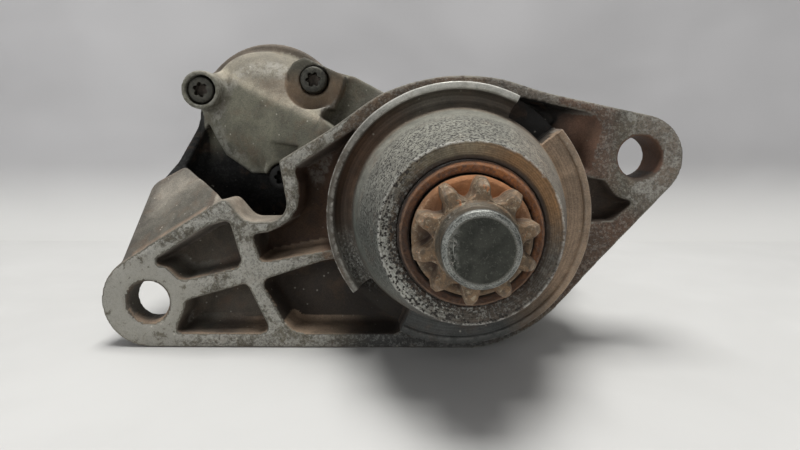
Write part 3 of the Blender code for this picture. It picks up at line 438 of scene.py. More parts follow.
def round_shaft(obj):
    """Each point's radius, y and angle in degrees about the shaft."""
    x, y, z = points_of(obj).T
    return np.hypot(x, z), y, np.degrees(np.arctan2(z, x))


def normals_of(obj):
    normals = np.zeros(len(obj.data.vertices) * 3, np.float32)
    obj.data.vertex_normals.foreach_get("vector", normals)
    return normals.reshape(-1, 3).astype(float)


def sample(field, axes, points):
    """Trilinear values of a gridded field at points."""
    index, share = [], []
    for m, axis in enumerate(axes):
        place = np.clip(points[:, m], axis[0], axis[-1] - 1e-6)
        i = np.clip(np.searchsorted(axis, place, side="right") - 1, 0, len(axis) - 2)
        index.append(i)
        share.append((place - axis[i]) / (axis[i + 1] - axis[i]))
    total = np.zeros(len(points))
    for i in (0, 1):
        for j in (0, 1):
            for k in (0, 1):
                weight = ((share[0] if i else 1 - share[0]) * (share[1] if j else 1 - share[1])
                          * (share[2] if k else 1 - share[2]))
                total += weight * field[index[0] + i, index[1] + j, index[2] + k]
    return total


def concavity(field, axes, verts, obj, reach):
    """How far each vertex sits in a hollow, and stands on an edge, both about 0 to 1."""
    normals = normals_of(obj)
    hollow = np.zeros(len(verts))
    for step in reach:
        outside = sample(field, axes, verts + normals * step)
        hollow += clip01(1 - outside / step) / len(reach)
    inside = sample(field, axes, verts - normals * reach[0])
    return hollow, clip01(1 + inside / reach[0])


def solid(name, field, lowest, highest, step):
    """A piece from a distance field of x, y, z, on a regular grid, with dirt, painted shade in
    its hollows, and wear.
    """
    axes = [np.arange(lowest[m] - 2 * step, highest[m] + 2.5 * step, step) for m in range(3)]
    values = field(*np.meshgrid(*axes, indexing="ij")).astype(np.float32)
    verts, quads = surface_nets(values, axes)
    obj = mesh_object(name, verts, quads)
    hollow, edge = concavity(values, axes, verts, obj, reach=(step * 1.6, step * 4))
    # the hollows are painted darker as shade, in one channel with dirt
    write(obj, dirt=clip01(hollow * 0.9), wear=clip01(edge - 0.25))
    return obj


def layered(base, layers):
    """A colour per point: the base with each (mask, colour) laid over it in turn."""
    tint = np.tile(np.array(base), (len(layers[0][0]), 1))
    for mask, colour in layers:
        mask = clip01(mask)[:, None]
        tint = tint * (1 - mask) + np.array(colour) * mask
    return tint


def dress(obj, material, body, node):
    obj.data.materials.clear()
    obj.data.materials.append(material)
    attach(obj, body)
    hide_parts(node)


# ------------------------------------------------------------------ the housing's casting
# Outlines are (x, z) or (x, z, corner radius).
PLATE_OUTLINE = rounded([
    (-146.9, -42.6, 14.5), (-70.0, 4.2, 2.6), (-64.2, -2.9, 5.0), (-50.5, -2.9, 5.6),
    (-53.4, 15.2, 1.0), (-8.8, 43.0, 58.0), (79.3, 24.3, 12.9), (18.9, -42.6, 42.6)])
STEP_OUTLINE = rounded([
    (-47.0, 47.6, 2.0), (-33.5, 44.3, 4.0), (-14.0, 34.0, 0.0), (-22.0, 18.0, 0),
    (-45.0, 20.0, 0), (-52.0, 34.0, 0)])
PANEL_OFFSETS = [   # from the second screw
    (-9.6, 2.6), (-7.2, 6.2), (-3.4, 8.0), (11.2, 1.3), (6.8, -10.0), (1.0, -9.6), (-6.4, -6.4)]
WALL_OUTLINE = [
    (-104.0, 4.0), (-96.9, 13.9), (-91.8, 26.6), (-90.9, 31.0), (-66.0, 20.0), (-44.0, 8.0),
    (-40.0, -16.0), (-84.0, -22.0), (-103.0, -14.0)]
HOLLOW_OUTLINE = [
    (-99.0, 3.0), (-93.5, 13.0), (-88.6, 25.5), (-86.0, 27.5), (-80.0, 16.5), (-70.0, 10.0),
    (-55.0, 10.0), (-50.0, 4.0), (-50.0, -6.0), (-62.0, -13.0), (-78.0, -13.0), (-90.0, -6.0)]
NOTCH_OUTLINE = rounded([
    (-80.0, 24.0, 0), (-72.0, 7.0, 0), (-64.2, -2.9, 5.0), (-50.5, -2.9, 5.6),
    (-53.4, 15.2, 0), (-51.0, 20.0, 0)])

# Planes that bound the shoulder: outward normal, a point on it, and the fillet to the rest.
SHOULDER_TOP = ((-0.428, -0.573, 0.699), (-87.0, 0.3, -6.9))
SHOULDER_RIDGE = ((0.685, 0.30, 0.664), (-70.6, 0.3, 4.3))
SHOULDER_SIDES = [
    ((-1.0, -0.02, 0.03), (-104.2, 10, 0), 3.0),
    (*SHOULDER_RIDGE, 1.0),
    ((0.10, 1.0, 0.05), (-98.0, 30.6, 0.0), 3.0),
    ((0.2, 0.25, -1.0), (-100.0, 14.0, -20.0), 3.0),
    ((1.0, 0.1, -0.2), (-73.0, 10.0, 0.0), 3.0)]

RIBS = [(-20.0, 1.6), (200.0, 1.8), (232.0, 1.8), (40.0, 1.6)]   # angle, half thickness
SLOTS = [(41.6, 62.4, 9.5), (217.6, 242.8, 12.0)]                # first, last angle, depth

# Pockets in the front of the plate: outline, depth.
POCKET_ARC_R = 38.6
POCKETS = [
    (rounded([(-94.2, -15.7, 1.4), (-75.8, -4.3, 5.0), (-69.0, -2.3, 1.6), (-65.6, -15.0, 1.2),
              (-67.0, -17.4, 1.6), (-77.0, -19.8, 30), (-84.6, -21.5, 3.0),
              (-88.4, -17.4, 3.0)]), 13.0),
    (rounded([(-83.6, -27.6, 2.0), (-64.2, -22.0, 1.8), (-57.2, -37.2, 2.0),
              (-60.0, -38.2, 0.8), (-86.9, -38.2, 0.9), (-86.3, -35.0, 6.0),
              (-84.2, -31.0, 8.0)]), 13.0),
    ([(-58.9, -22.2), (-58.4, -21.0), (-57.4, -20.4), (-40.5, -14.9)]
     + arc(POCKET_ARC_R, 201.5, 245.5, 14)
     + [(-16.4, -36.9), (-18.0, -38.2), (-47.0, -38.2), (-50.2, -37.3), (-52.9, -34.6),
        (-55.2, -30.2), (-58.9, -23.6)], 14.0),
    ([(-60.0, -14.6), (-62.0, -8.2), (-61.8, -7.0), (-60.8, -6.6), (-57.2, -6.1),
      (-53.5, -4.5), (-50.3, -2.0), (-48.2, 1.0), (-47.5, 4.6), (-47.6, 8.4), (-48.7, 12.2),
      (-48.2, 13.6), (-46.4, 15.0), (-26.4, 27.5)]
     + arc(POCKET_ARC_R, 133.4, 197.3, 16)
     + [(-57.2, -15.4), (-59.0, -15.3)], 15.0),
    (rounded([(37.4, 10.9, 0.4), (44.6, 9.9, 1.6), (48.2, 5.0, 5.0), (53.8, 3.2, 0.9),
              (47.4, -2.6, 3.0), (38.8, -3.2, 0.4)]), 8.0)]
UPPER_POCKET = arc(38.7, 61.5, 17.0, 14) + [
    (39.6, 13.2), (40.2, 16.6), (41.2, 20.2), (43.2, 23.6), (45.4, 26.4), (45.2, 28.4),
    (34.0, 30.9), (19.4, 33.9)]


def plate_and_drum(x, y, z):
    """The flange plate, and behind it the drum with a shallow step at its rear end."""
    outline = polygon_field(PLATE_OUTLINE, x, z)
    radius = np.hypot(x, z)
    plate = smax(outline + 0.02 * y, y - 16.0, 2.0)
    within = outline + 0.2 - np.clip(y - 14.0, 0, 4) * 2.0
    drum = smax(np.maximum(radius - 40.4, within), y - DRUM_END, 0.8)
    drum = smin(drum, smax(radius - 39.0, y - DRUM_END, 0.5), 0.5)
    return smin(plate, drum, 5.0)


def add_belly(body, x, y, z):
    """Casting that ties the flange's long side to the drum."""
    belly = np.maximum(np.maximum(-z - 41.0, x + 18.0), -(x + 92.0))
    belly = smax(belly, (y - 15.0) - (x + 92.0) * 0.62, 3.0)
    belly = smax(belly, 0.55 * z - 4.0 + 0.30 * (y - 15.0), 3.0)
    belly = smax(belly, -(y - 3.0), 1.0)
    belly = smax(belly, polygon_field(PLATE_OUTLINE, x, z) + 1.5, 2.0)
    return smin(body, belly, 4.0)


def add_lever_housing(body, x, y, z):
    """A barrel along the line between the two axes, blunt at the far end, with its rim."""
    along, aside = lever_frame(x, z)
    front_reach = 17.5 + np.clip(72.0 - along, 0, 22) * 0.43
    beyond = np.maximum(along - 68.0, 0.0)
    depth = np.maximum(50.0 - y, 0.0)
    power = 2.5   # of the superellipse
    bulge = ((np.abs(aside) / np.where(aside > 0, 23.4, 24.4)) ** power
             + (beyond / 28.2) ** power + (depth / front_reach) ** power)
    barrel = (np.maximum(bulge, 1e-6) ** (1 / power) - 1.0) * 19.0
    barrel = smax(barrel, y - RIM_REAR, 0.6)
    side_end = 33.0 + 19.0 * clip01((aside - 4.5) / 4.0)
    barrel = smax(barrel, side_end - along, 1.2)
    rim = slab(y, (RIM_FRONT + RIM_REAR) / 2, (RIM_REAR - RIM_FRONT) / 2)
    ring = smax(away(x, z, SOLENOID) - RIM_R, rim, 0.7)
    return smin(body, smin(barrel, ring, 1.6), 3.0)


def add_screw_seats(body, x, y, z):
    """The step towards the flange's upper edge, and the seats of the three screws."""
    step = smax(polygon_field(STEP_OUTLINE, x, z), slab(y, 47.4, 6.4), 0.9)
    body = smin(body, step, 1.2)

    def round_seat(screw):
        return smax(away(x, z, screw) - 6.6, slab(y, 41.6, 12.0), 0.8)

    first, second, third = SCREWS
    body = smin(body, round_seat(first), 2.6)
    points = [(second[0] + across, second[1] + up) for across, up in PANEL_OFFSETS]
    panel = smax(polygon_field(points, x, z), slab(y, 43.4, 10.9), 0.7)
    body = smin(body, panel, 0.8)
    clearance = smax(away(x, z, second) - 10.2, y - 33.0, 0.5)
    body = smax(body, -clearance, 0.5)
    return smin(body, round_seat(third), 2.0)


def add_shoulder(body, x, y, z):
    """A smooth web from the flange's upper left edge, back and up."""
    shoulder = plane(x, y, z, *SHOULDER_TOP)
    for normal, point, blend in SHOULDER_SIDES:
        shoulder = smax(shoulder, plane(x, y, z, normal, point), blend)
    shoulder = smax(shoulder, -(y - 1.2), 0.5)
    return smin(body, shoulder, 1.0)


def add_hollow_wall(body, x, y, z):
    """The wall from the shoulder up to the rim, hollowed out towards the lever housing."""
    wall = polygon_field(WALL_OUTLINE, x, z)
    lean = 29.6 + np.clip(z - 4.0, 0.0, 30.0) * 0.62
    wall = smax(wall, y - RIM_REAR, 1.5)
    wall = smax(wall, lean - y, 1.5)
    keep = smax(y - (lean + 20.0), -z - 30.0, 2.0)
    wall = smax(wall, np.where(x < -84, keep, y - RIM_REAR), 1.0)
    body = smin(body, wall, 2.0)
    hollow = polygon_field(HOLLOW_OUTLINE, x, z)
    hollow = smax(hollow, np.maximum(18.0 - y, y - 46.5), 2.5)
    ridge = plane(x, y, z, *SHOULDER_RIDGE)
    hollow = np.maximum(hollow, -np.where(x > -76.0, 50.0, ridge + 0.05))
    return smax(body, -hollow, 0.8)


def add_lugs_and_ribs(body, x, y, z):
    """Lugs for the through bolts, and ribs between the back of the flange and the drum."""
    for side in (-1, 1):
        lug = smax(away(x, z, (side * BOLT_X, 0.0)) - 6.2, slab(y, 69.8, 9.7), 0.8)
        web = np.maximum(np.abs(z) - 6.0, slab(x, side * 40.0, 3.0))
        web = smax(web, slab(y, 69.8, 9.7), 0.8)
        body = smin(body, smin(lug, web, 1.0), 2.2)
    outline = polygon_field(PLATE_OUTLINE, x, z)
    for angle, half in RIBS:
        along, across = turned_axes(x, z, angle)
        rib = smax(np.abs(across) - half, along + (y - 14.0) * 1.1 - 62.0, 1.0)
        for limit in (36.0 - along, 10.0 - y, y - 48.0, outline):
            rib = np.maximum(rib, limit)
        body = smin(body, rib, 3.0)
    return body


def trim_front(body, x, y, z):
    """The flat mounting face, the thinned left ear and the slots beside the nose."""
    body = smax(body, -y, 0.35)
    thinned = away(x, z, (LEFT_EAR[0] - 7.8, LEFT_EAR[1] - 4.9)) - 16.6
    body = smax(body, -smax(thinned, -(y - 9.0), 1.4), 1.0)
    radius = np.hypot(x, z)
    for first, last, deep in SLOTS:
        half = math.radians((last - first) / 2)
        along, across = turned_axes(x, z, (first + last) / 2)
        side = np.abs(across) - np.abs(along) * math.tan(half)
        side = np.where(along > 0, side * math.cos(half), 50.0)
        slot = np.maximum(np.maximum(side, 31.0 - radius), radius - 42.0)
        slot = smax(slot, y - np.where(radius > 35.6, deep, 2.4), 0.8)
        if first < 90:
            slot = np.maximum(slot, z - 33.6 + (x - 19.4) * 0.205)
        body = smax(body, -slot, 0.4)
    return body


def cut_pockets(body, x, y, z):
    """Pockets between the ribs, with drafted walls and filleted floors, and the notch."""
    for points, deep in POCKETS:
        hole = polygon_field(points, x, z) + 0.055 * np.maximum(y, 0) + 0.12
        body = smax(body, -smax(hole, y - deep, 3.2), 0.45)
    # the large pocket beside the drum gets shallower towards +x, where its rim is rounder
    floor = 11.5 - np.clip(x - 26.0, 0, 17) * 0.58 - np.clip(x - 37.0, 0, 8) * 0.35
    hole = smax(polygon_field(UPPER_POCKET, x, z) + 0.05 * np.maximum(y, 0), y - floor, 3.4)
    rim = 0.5 + 2.6 * clip01((x - 36.0) / 4.0) * clip01((29.0 - z) / 4.0)
    body = smax(body, -hole, rim)
    # the notch lets a driver reach the third screw
    notch = smax(polygon_field(NOTCH_OUTLINE, x, z) + 0.02 * y, y - 30.2, 0.5)
    return smax(body, -notch, 0.5)


def cut_bores(body, x, y, z):
    """Countersunk ear holes, the screws' holes and the through bolts' threads."""
    for centre, cone in ((LEFT_EAR, 7.4), (RIGHT_EAR, 7.3)):
        radius = away(x, z, centre)
        bore = np.minimum(radius - 6.35, (radius - cone + y) * 0.7071)
        body = smax(body, -bore, 0.15)
    spot = smax(away(x, z, RIGHT_EAR) - 15.5, np.maximum(17.0 - y, y - 30.0), 0.5)
    body = smax(body, -spot, 0.6)
    for centre in SCREWS:
        radius = away(x, z, centre)
        seat = np.minimum(radius - 3.0, np.maximum(radius - 5.15, y - 36.0))
        seat = np.minimum(seat, (radius - 5.5 + (y - 29.6)) * 0.7071)
        body = smax(body, -np.where(y > 24.0, seat, 1e3), 0.15)
    for side in (-1, 1):
        hole = np.maximum(away(x, z, (side * BOLT_X, 0.0)) - 2.7, 66.0 - y)
        body = smax(body, -hole, 0.3)
    return body


def cut_inside(body, x, y, z):
    """Drum cavity, solenoid opening, the lever's tunnel, and the flat ends."""
    radius = np.hypot(x, z)
    along, aside = lever_frame(x, z)
    cavity = np.maximum(radius - 34.0, np.maximum(4.4 - y, y - 90.0))
    cavity = np.minimum(cavity, np.maximum(radius - 36.0, 60.5 - y))
    cavity = np.minimum(cavity, np.maximum(radius - 30.5, -0.6 - y))
    room = smax(away(x, z, SOLENOID) - 18.0, 37.0 - y, 4.0)

    def tunnel(far, rear):
        across = np.maximum(np.abs(aside) - 12.0, np.maximum(26.0 - along, along - far))
        return np.maximum(across, np.maximum(42.0 - y, y - rear))

    tunnels = np.minimum(tunnel(60.0, 56.0), tunnel(42.5, 60.3))
    body = smax(body, -np.minimum(cavity, np.minimum(room, tunnels)), 0.3)
    # the solenoid's case fits against the rim's flat rear face
    behind = np.maximum(away(x, z, SOLENOID) - (RIM_R + 0.4), RIM_REAR - y)
    body = np.maximum(body, -behind)
    # flat lower edge
    return np.maximum(body, -z - 42.58)


def casting_field(xs, ys, zs):
    x = xs[:, None, None].astype(np.float32)
    y = ys[None, :, None].astype(np.float32)
    z = zs[None, None, :].astype(np.float32)
    body = plate_and_drum(x, y, z)
    for change in (add_belly, add_lever_housing, add_screw_seats, add_shoulder,
                   add_hollow_wall, add_lugs_and_ribs, trim_front, cut_pockets, cut_bores,
                   cut_inside):
        body = change(body, x, y, z)
    return body


# ------------------------------------------------------------------ node materials
class Look:
    """A material of procedural nodes, in the object's own coordinates in millimetres."""

    def __init__(self, name):
        self.mat = bpy.data.materials.new(name)
        self.mat.use_nodes = True
        self.tree = self.mat.node_tree
        self.tree.nodes.clear()
        self.out = self.node("ShaderNodeOutputMaterial")
        self.surface = self.node("ShaderNodeBsdfPrincipled")
        self.link(self.surface.outputs[0], self.out.inputs[0])
        coordinates = self.node("ShaderNodeTexCoord")
        scale = self.node("ShaderNodeVectorMath", operation="SCALE")
        self.link(coordinates.outputs["Object"], scale.inputs[0])
        scale.inputs["Scale"].default_value = 1000.0
        self.place = scale.outputs[0]

    def node(self, kind, **settings):
        node = self.tree.nodes.new(kind)
        for name, value in settings.items():
            setattr(node, name, value)
        return node

    def link(self, output, socket):
        self.tree.links.new(output, socket)

    def put(self, socket, value):
        if isinstance(value, bpy.types.NodeSocket):
            self.link(value, socket)
        elif isinstance(value, tuple) and socket.type == "RGBA":
            socket.default_value = (*value, 1.0)
        else:
            socket.default_value = value

    def mapped(self, scale=(1, 1, 1), shift=(0, 0, 0)):
        node = self.node("ShaderNodeMapping")
        self.link(self.place, node.inputs["Vector"])
        node.inputs["Scale"].default_value = scale
        node.inputs["Location"].default_value = shift
        return node.outputs[0]

    def noise(self, scale, detail=4.0, rough=0.6, twist=0.0, vector=None, shift=None):
        node = self.node("ShaderNodeTexNoise")
        node.inputs["Scale"].default_value = scale
        node.inputs["Detail"].default_value = detail
        node.inputs["Roughness"].default_value = rough
        node.inputs["Distortion"].default_value = twist
        if shift is not None:
            vector = self.mapped(shift=(shift, -shift * 0.7, shift * 1.3))
        self.link(self.place if vector is None else vector, node.inputs["Vector"])
        return node.outputs[0]

    def cells(self, scale):
        node = self.node("ShaderNodeTexVoronoi")
        node.inputs["Scale"].default_value = scale
        node.inputs["Randomness"].default_value = 1.0
        self.link(self.place, node.inputs["Vector"])
        return node.outputs["Distance"]

    def between(self, value, start, end, to=(0.0, 1.0)):
        """A smooth ramp from to[0] at start to to[1] at end."""
        node = self.node("ShaderNodeMapRange")
        node.interpolation_type = "SMOOTHSTEP"
        self.put(node.inputs["Value"], value)
        node.inputs["From Min"].default_value = start
        node.inputs["From Max"].default_value = end
        node.inputs["To Min"].default_value, node.inputs["To Max"].default_value = to
        return node.outputs["Result"]

    def math(self, operation, first, second, clamp=False):
        node = self.node("ShaderNodeMath", operation=operation)
        node.use_clamp = clamp
        self.put(node.inputs[0], first)
        self.put(node.inputs[1], second)
        return node.outputs[0]

    def times(self, first, second, clamp=False):
        return self.math("MULTIPLY", first, second, clamp)

    def plus(self, first, second, clamp=False):
        return self.math("ADD", first, second, clamp)

    def minus(self, first, second, clamp=False):
        return self.math("SUBTRACT", first, second, clamp)

    def mix(self, factor, under, over, how="MIX"):
        node = self.node("ShaderNodeMix", data_type="RGBA", blend_type=how)
        node.clamp_factor = True
        self.put(node.inputs[0], factor)
        self.put(node.inputs[6], under)
        self.put(node.inputs[7], over)
        return node.outputs[2]

    def layer(self, under, mask, over, share=None):
        """A colour laid over another where the mask is, no stronger than share."""
        factor = mask if share is None else self.times(mask, share)
        return self.mix(factor, under, over)

    def mottle(self, colour, value, amount):
        """The colour darkened and lightened by the amount as value goes from 0 to 1."""
        grey = self.between(value, start=0.25, end=0.75, to=(1.0 - amount, 1.0 + amount))
        node = self.node("ShaderNodeCombineColor")
        for socket in node.inputs:
            self.link(grey, socket)
        return self.mix(1.0, colour, node.outputs[0], "MULTIPLY")

    def attribute(self, name, output="Fac"):
        return self.node("ShaderNodeAttribute", attribute_name=name).outputs[output]

    def finish(self, colour, roughness, metallic, height, strength, distance, coat=0.0):
        """Connect the surface; distance is the depth of the bumps in millimetres."""
        self.put(self.surface.inputs["Base Color"], colour)
        self.put(self.surface.inputs["Roughness"], roughness)
        self.put(self.surface.inputs["Metallic"], metallic)
        if coat:
            self.surface.inputs["Coat Weight"].default_value = coat
            self.surface.inputs["Coat Roughness"].default_value = 0.3
        bump = self.node("ShaderNodeBump")
        bump.inputs["Strength"].default_value = strength
        bump.inputs["Distance"].default_value = distance * MM
        self.link(height, bump.inputs["Height"])
        self.link(bump.outputs[0], self.surface.inputs["Normal"])
        return self.mat


def aged_casting():
    look = Look("aged_cast_aluminium")
    tint = look.attribute("tint", "Color")
    dirt, wear, machined, pit = (look.attribute(n) for n in ("dirt", "wear", "mach", "pit"))
    broad = look.noise(scale=0.045, detail=3.0)
    blotch = look.noise(scale=0.22, detail=6.0, rough=0.68, twist=0.6)
    stain = look.noise(scale=0.55, detail=5.0, rough=0.7, twist=0.4, shift=31.0)
    grain = look.noise(scale=2.3, detail=3.0, rough=0.7)
    fine = look.noise(scale=6.0, detail=2.0, shift=11.0)
    colour = look.mottle(tint, broad, amount=0.22)
    colour = look.mottle(colour, blotch, amount=0.30)
    colour = look.mottle(colour, grain, amount=0.22)
    # rust dust and oil
    rusty = look.noise(scale=0.11, detail=5.0, rough=0.65, twist=0.4, shift=57.0)
    rusty = look.between(rusty, start=0.52, end=0.72)
    colour = look.layer(colour, rusty, over=(0.150, 0.088, 0.052), share=0.34)
    # dirt, and the shade painted into hollows, darken the metal
    grime_and_shade = look.plus(look.times(dirt, 1.15),
                     look.times(look.minus(stain, 0.5), look.times(dirt, 1.6)), clamp=True)
    deep = look.mix(blotch, under=(0.022, 0.017, 0.013), over=(0.070, 0.046, 0.031))
    colour = look.layer(colour, grime_and_shade, over=deep)
    # machined faces stay brighter where the dirt has come off them
    dull = look.plus(look.times(stain, 0.35), look.times(blotch, 0.65))
    dull = look.minus(dull, look.times(look.minus(machined, 1.0), 0.42))
    exposed = look.between(dull, start=0.45, end=0.55, to=(1.0, 0.0))
    clean = look.times(machined, exposed, clamp=True)
    bright = look.mottle((0.44, 0.432, 0.39), fine, amount=0.25)
    colour = look.layer(colour, clean, over=bright, share=0.53)
    # edges rubbed bright
    rub = look.times(wear, look.between(stain, start=0.38, end=0.62), clamp=True)
    colour = look.layer(colour, rub, over=(0.50, 0.49, 0.45))
    # corrosion pits: dark holes among white oxide
    salt = look.noise(scale=1.1, rough=0.72, shift=5.0)
    salt = look.between(salt, start=0.50, end=0.58)
    pepper = look.noise(scale=1.25, detail=3.0, rough=0.62, shift=83.0)
    pepper = look.between(pepper, start=0.565, end=0.60)
    holes = look.between(look.cells(scale=1.15), start=0.26, end=0.42, to=(1.0, 0.0))
    groups = look.noise(scale=0.42, rough=0.65, shift=47.0)
    holes = look.times(holes, look.between(groups, start=0.36, end=0.46))
    pepper = look.math("MAXIMUM", pepper, holes)
    salted = look.times(look.minus(1.0, look.attribute("plain")), 0.55)
    colour = look.layer(colour, look.times(salt, look.times(pit, salted)),
                        over=(0.47, 0.48, 0.44))
    colour = look.layer(colour, look.times(pepper, look.times(pit, 0.95)),
                        over=(0.040, 0.036, 0.032))
    # turning marks on lathe-cut faces
    lathe = look.attribute("lathe")
    run = look.node("ShaderNodeCombineXYZ")
    look.link(look.attribute("reach"), run.inputs[0])
    marks = look.node("ShaderNodeTexNoise")
    marks.inputs["Scale"].default_value = 2.1
    marks.inputs["Detail"].default_value = 3.0
    look.link(run.outputs[0], marks.inputs["Vector"])
    colour = look.layer(colour, lathe, over=look.mottle(colour, marks.outputs[0], amount=0.45))
    # light specks of splashed alloy and chips
    dots = look.between(look.cells(scale=0.34), start=0.0, end=0.16, to=(1.0, 0.0))
    some = look.noise(scale=0.16, detail=3.0, rough=0.7, shift=19.0)
    some = look.between(some, start=0.47, end=0.57)
    speck = look.times(look.times(dots, some), look.minus(1.0, grime_and_shade), clamp=True)
    colour = look.layer(colour, speck, over=(0.50, 0.47, 0.40), share=0.8)
    # clean and rubbed places shine more; dirt and painted shade hide the metal
    rough = look.between(blotch, start=0.3, end=0.7, to=(0.66, 0.86))
    rough = look.minus(rough, look.times(clean, 0.24))
    rough = look.minus(rough, look.times(rub, 0.2), clamp=True)
    metal = look.times(look.minus(1.0, grime_and_shade), look.plus(0.22, look.times(clean, 0.4)),
                       clamp=True)
    # relief: grain, less the pits, calmer on machined and smooth faces
    height = look.plus(look.times(grain, 0.55), look.times(blotch, 0.8))
    height = look.plus(height, look.times(fine, 0.25))
    height = look.minus(height, look.times(pepper, look.times(pit, 1.1)))
    height = look.times(height, look.minus(1.0, look.times(machined, 0.55)))
    height = look.times(height, look.minus(1.0, look.times(look.attribute("smooth"), 0.7)))
    return look.finish(colour, rough, metal, height, strength=0.75, distance=0.32)


def worn_metal(name, light, dark, rust=(0.26, 0.11, 0.05), rust_share=0.2, rough=(0.4, 0.7),
               metallic=0.8, scale=0.3, along=(1, 1, 1), scratch=0.3, bump=0.35,
               wear_to=(0.6, 0.58, 0.55)):
    """Metal with patches, scratches along one way, rust blooms and rubbed edges."""
    look = Look(name)
    blotch = look.noise(scale=scale, detail=6.0, rough=0.68, twist=0.5)
    grain = look.noise(scale=scale * 9, detail=3.0, rough=0.7, shift=13.0)
    colour = look.mix(look.between(blotch, start=0.34, end=0.66), dark, light)
    colour = look.mottle(colour, grain, amount=0.22)
    lines = look.noise(scale=1.0, detail=3.0, twist=0.1, vector=look.mapped(scale=along))
    marks = look.between(lines, start=0.58, end=0.70)
    colour = look.layer(colour, marks, over=wear_to, share=scratch)
    bloom = look.noise(scale=scale * 0.8, detail=7.0, rough=0.72, twist=0.8, shift=41.0)
    bloom = look.between(bloom, start=0.66 - rust_share * 0.5, end=0.78 - rust_share * 0.45)
    rusted = look.noise(scale=scale * 5, rough=0.7, shift=23.0)
    rusted = look.mix(rusted, rust, tuple(part * 0.35 for part in rust))
    colour = look.layer(colour, bloom, over=rusted, share=0.9)
    dirt, wear = look.attribute("dirt"), look.attribute("wear")
    # dirt, and the shade painted into hollows and recesses, darken the colour
    colour = look.layer(colour, dirt, over=(0.045, 0.032, 0.025), share=0.85)
    rub = look.times(wear, look.between(grain, start=0.3, end=0.6), clamp=True)
    colour = look.layer(colour, rub, over=wear_to)
    # rust is rough and hardly metallic, and stands up; scratches cut in
    roughness = look.plus(look.between(blotch, start=0.3, end=0.7, to=rough),
                          look.times(bloom, 0.22), clamp=True)
    metal = look.times(look.minus(1.0, look.times(bloom, 0.85)), metallic)
    height = look.plus(look.times(grain, 0.5), look.times(bloom, 0.7))
    height = look.plus(height, look.times(blotch, 0.5))
    height = look.minus(height, look.times(marks, scratch * 0.5))
    return look.finish(colour, roughness, metal, height, strength=bump, distance=0.25)


def rusted_pinion():
    look = Look("rusted_pinion_steel")
    face, wear, dirt = (look.attribute(name) for name in ("face", "wear", "dirt"))
    blotch = look.noise(scale=0.35, detail=6.0, rough=0.7, twist=0.8)
    patch = look.noise(scale=0.8, detail=5.0, rough=0.7, twist=0.5, shift=17.0)
    grain = look.noise(scale=3.2, detail=3.0, rough=0.7)
    colour = look.mix(look.between(blotch, start=0.36, end=0.62),
                      under=(0.105, 0.078, 0.052), over=(0.215, 0.140, 0.080))
    colour = look.layer(colour, look.between(patch, start=0.52, end=0.66),
                        over=(0.330, 0.275, 0.195))
    orange = look.noise(scale=0.5, detail=5.0, rough=0.7, twist=0.6, shift=71.0)
    colour = look.layer(colour, look.between(orange, start=0.60, end=0.72),
                        over=(0.40, 0.150, 0.050))
    dark = look.noise(scale=1.1, rough=0.7, twist=0.3, shift=3.0)
    colour = look.layer(colour, look.between(dark, start=0.60, end=0.70),
                        over=(0.10, 0.062, 0.042))
    colour = look.mottle(colour, grain, amount=0.3)
    # dirt, and the shade painted between the teeth and behind the collar, darken the rust
    colour = look.layer(colour, dirt, over=(0.055, 0.032, 0.022), share=0.85)
    rub = look.times(wear, look.between(patch, start=0.36, end=0.56), clamp=True)
    colour = look.layer(colour, rub, over=(0.55, 0.45, 0.37), share=0.8)
    # the ground end of the shaft: dark, with scratches and spots
    clouds = look.noise(scale=0.22, shift=9.0)
    steel = look.mix(look.between(clouds, start=0.35, end=0.65),
                     under=(0.026, 0.028, 0.023), over=(0.048, 0.050, 0.042))
    steel = look.mottle(steel, grain, amount=0.22)
    streaks = look.mapped(scale=(3.4, 0.4, 0.16), shift=(2.0, 0, 0))
    lines = look.noise(scale=1.0, detail=2.0, rough=0.5, twist=0.15, vector=streaks)
    lines = look.between(lines, start=0.60, end=0.70)
    split = look.node("ShaderNodeSeparateXYZ")
    look.link(look.place, split.inputs[0])
    # side: a strip at the left of the end face
    side = look.between(split.outputs[0], start=-5.6, end=-4.2, to=(1.0, 0.0))
    inner = look.between(split.outputs[0], start=-7.6, end=-6.9)
    side = look.times(side, inner)
    cloudy = look.noise(scale=0.75, rough=0.7, shift=61.0)
    cloudy = look.between(cloudy, start=0.44, end=0.56, to=(0.0, 0.55))
    steel = look.layer(steel, look.times(side, cloudy), over=(0.22, 0.225, 0.205))
    steel = look.layer(steel, look.times(lines, look.times(side, 0.8)),
                       over=(0.62, 0.61, 0.58))
    spots = look.noise(scale=1.5, rough=0.75, shift=29.0)
    spots = look.between(spots, start=0.56, end=0.64)
    steel = look.layer(steel, look.times(spots, look.plus(look.times(side, 0.6), 0.10)),
                       over=(0.40, 0.38, 0.34))
    dust = look.attribute("orange")
    colour = look.layer(colour, dust, over=look.mix(
        patch, under=(0.20, 0.085, 0.035), over=(0.50, 0.215, 0.080)))
    colour = look.layer(colour, face, over=steel)
    collar = look.mix(look.between(patch, start=0.40, end=0.60),
                      under=(0.022, 0.025, 0.023), over=(0.050, 0.054, 0.049))
    colour = look.layer(colour, look.attribute("ring"), over=collar)
    glint = look.attribute("glint")
    colour = look.layer(colour, look.times(glint, look.between(grain, start=0.30, end=0.60)),
                        over=(0.62, 0.63, 0.58))
    # the ground face is smoother and more metallic than the rust
    rough = look.between(grain, start=0.3, end=0.7, to=(0.68, 0.86))
    rough = look.minus(rough, look.times(face, 0.32), clamp=True)
    rough = look.minus(rough, look.times(rub, 0.25), clamp=True)
    metal = look.plus(0.15, look.times(face, 0.55), clamp=True)
    height = look.plus(look.times(grain, 0.6), look.times(patch, 0.8))
    height = look.times(height, look.minus(1.0, look.times(face, 0.8)))
    return look.finish(colour, rough, metal, height, strength=0.7, distance=0.35)


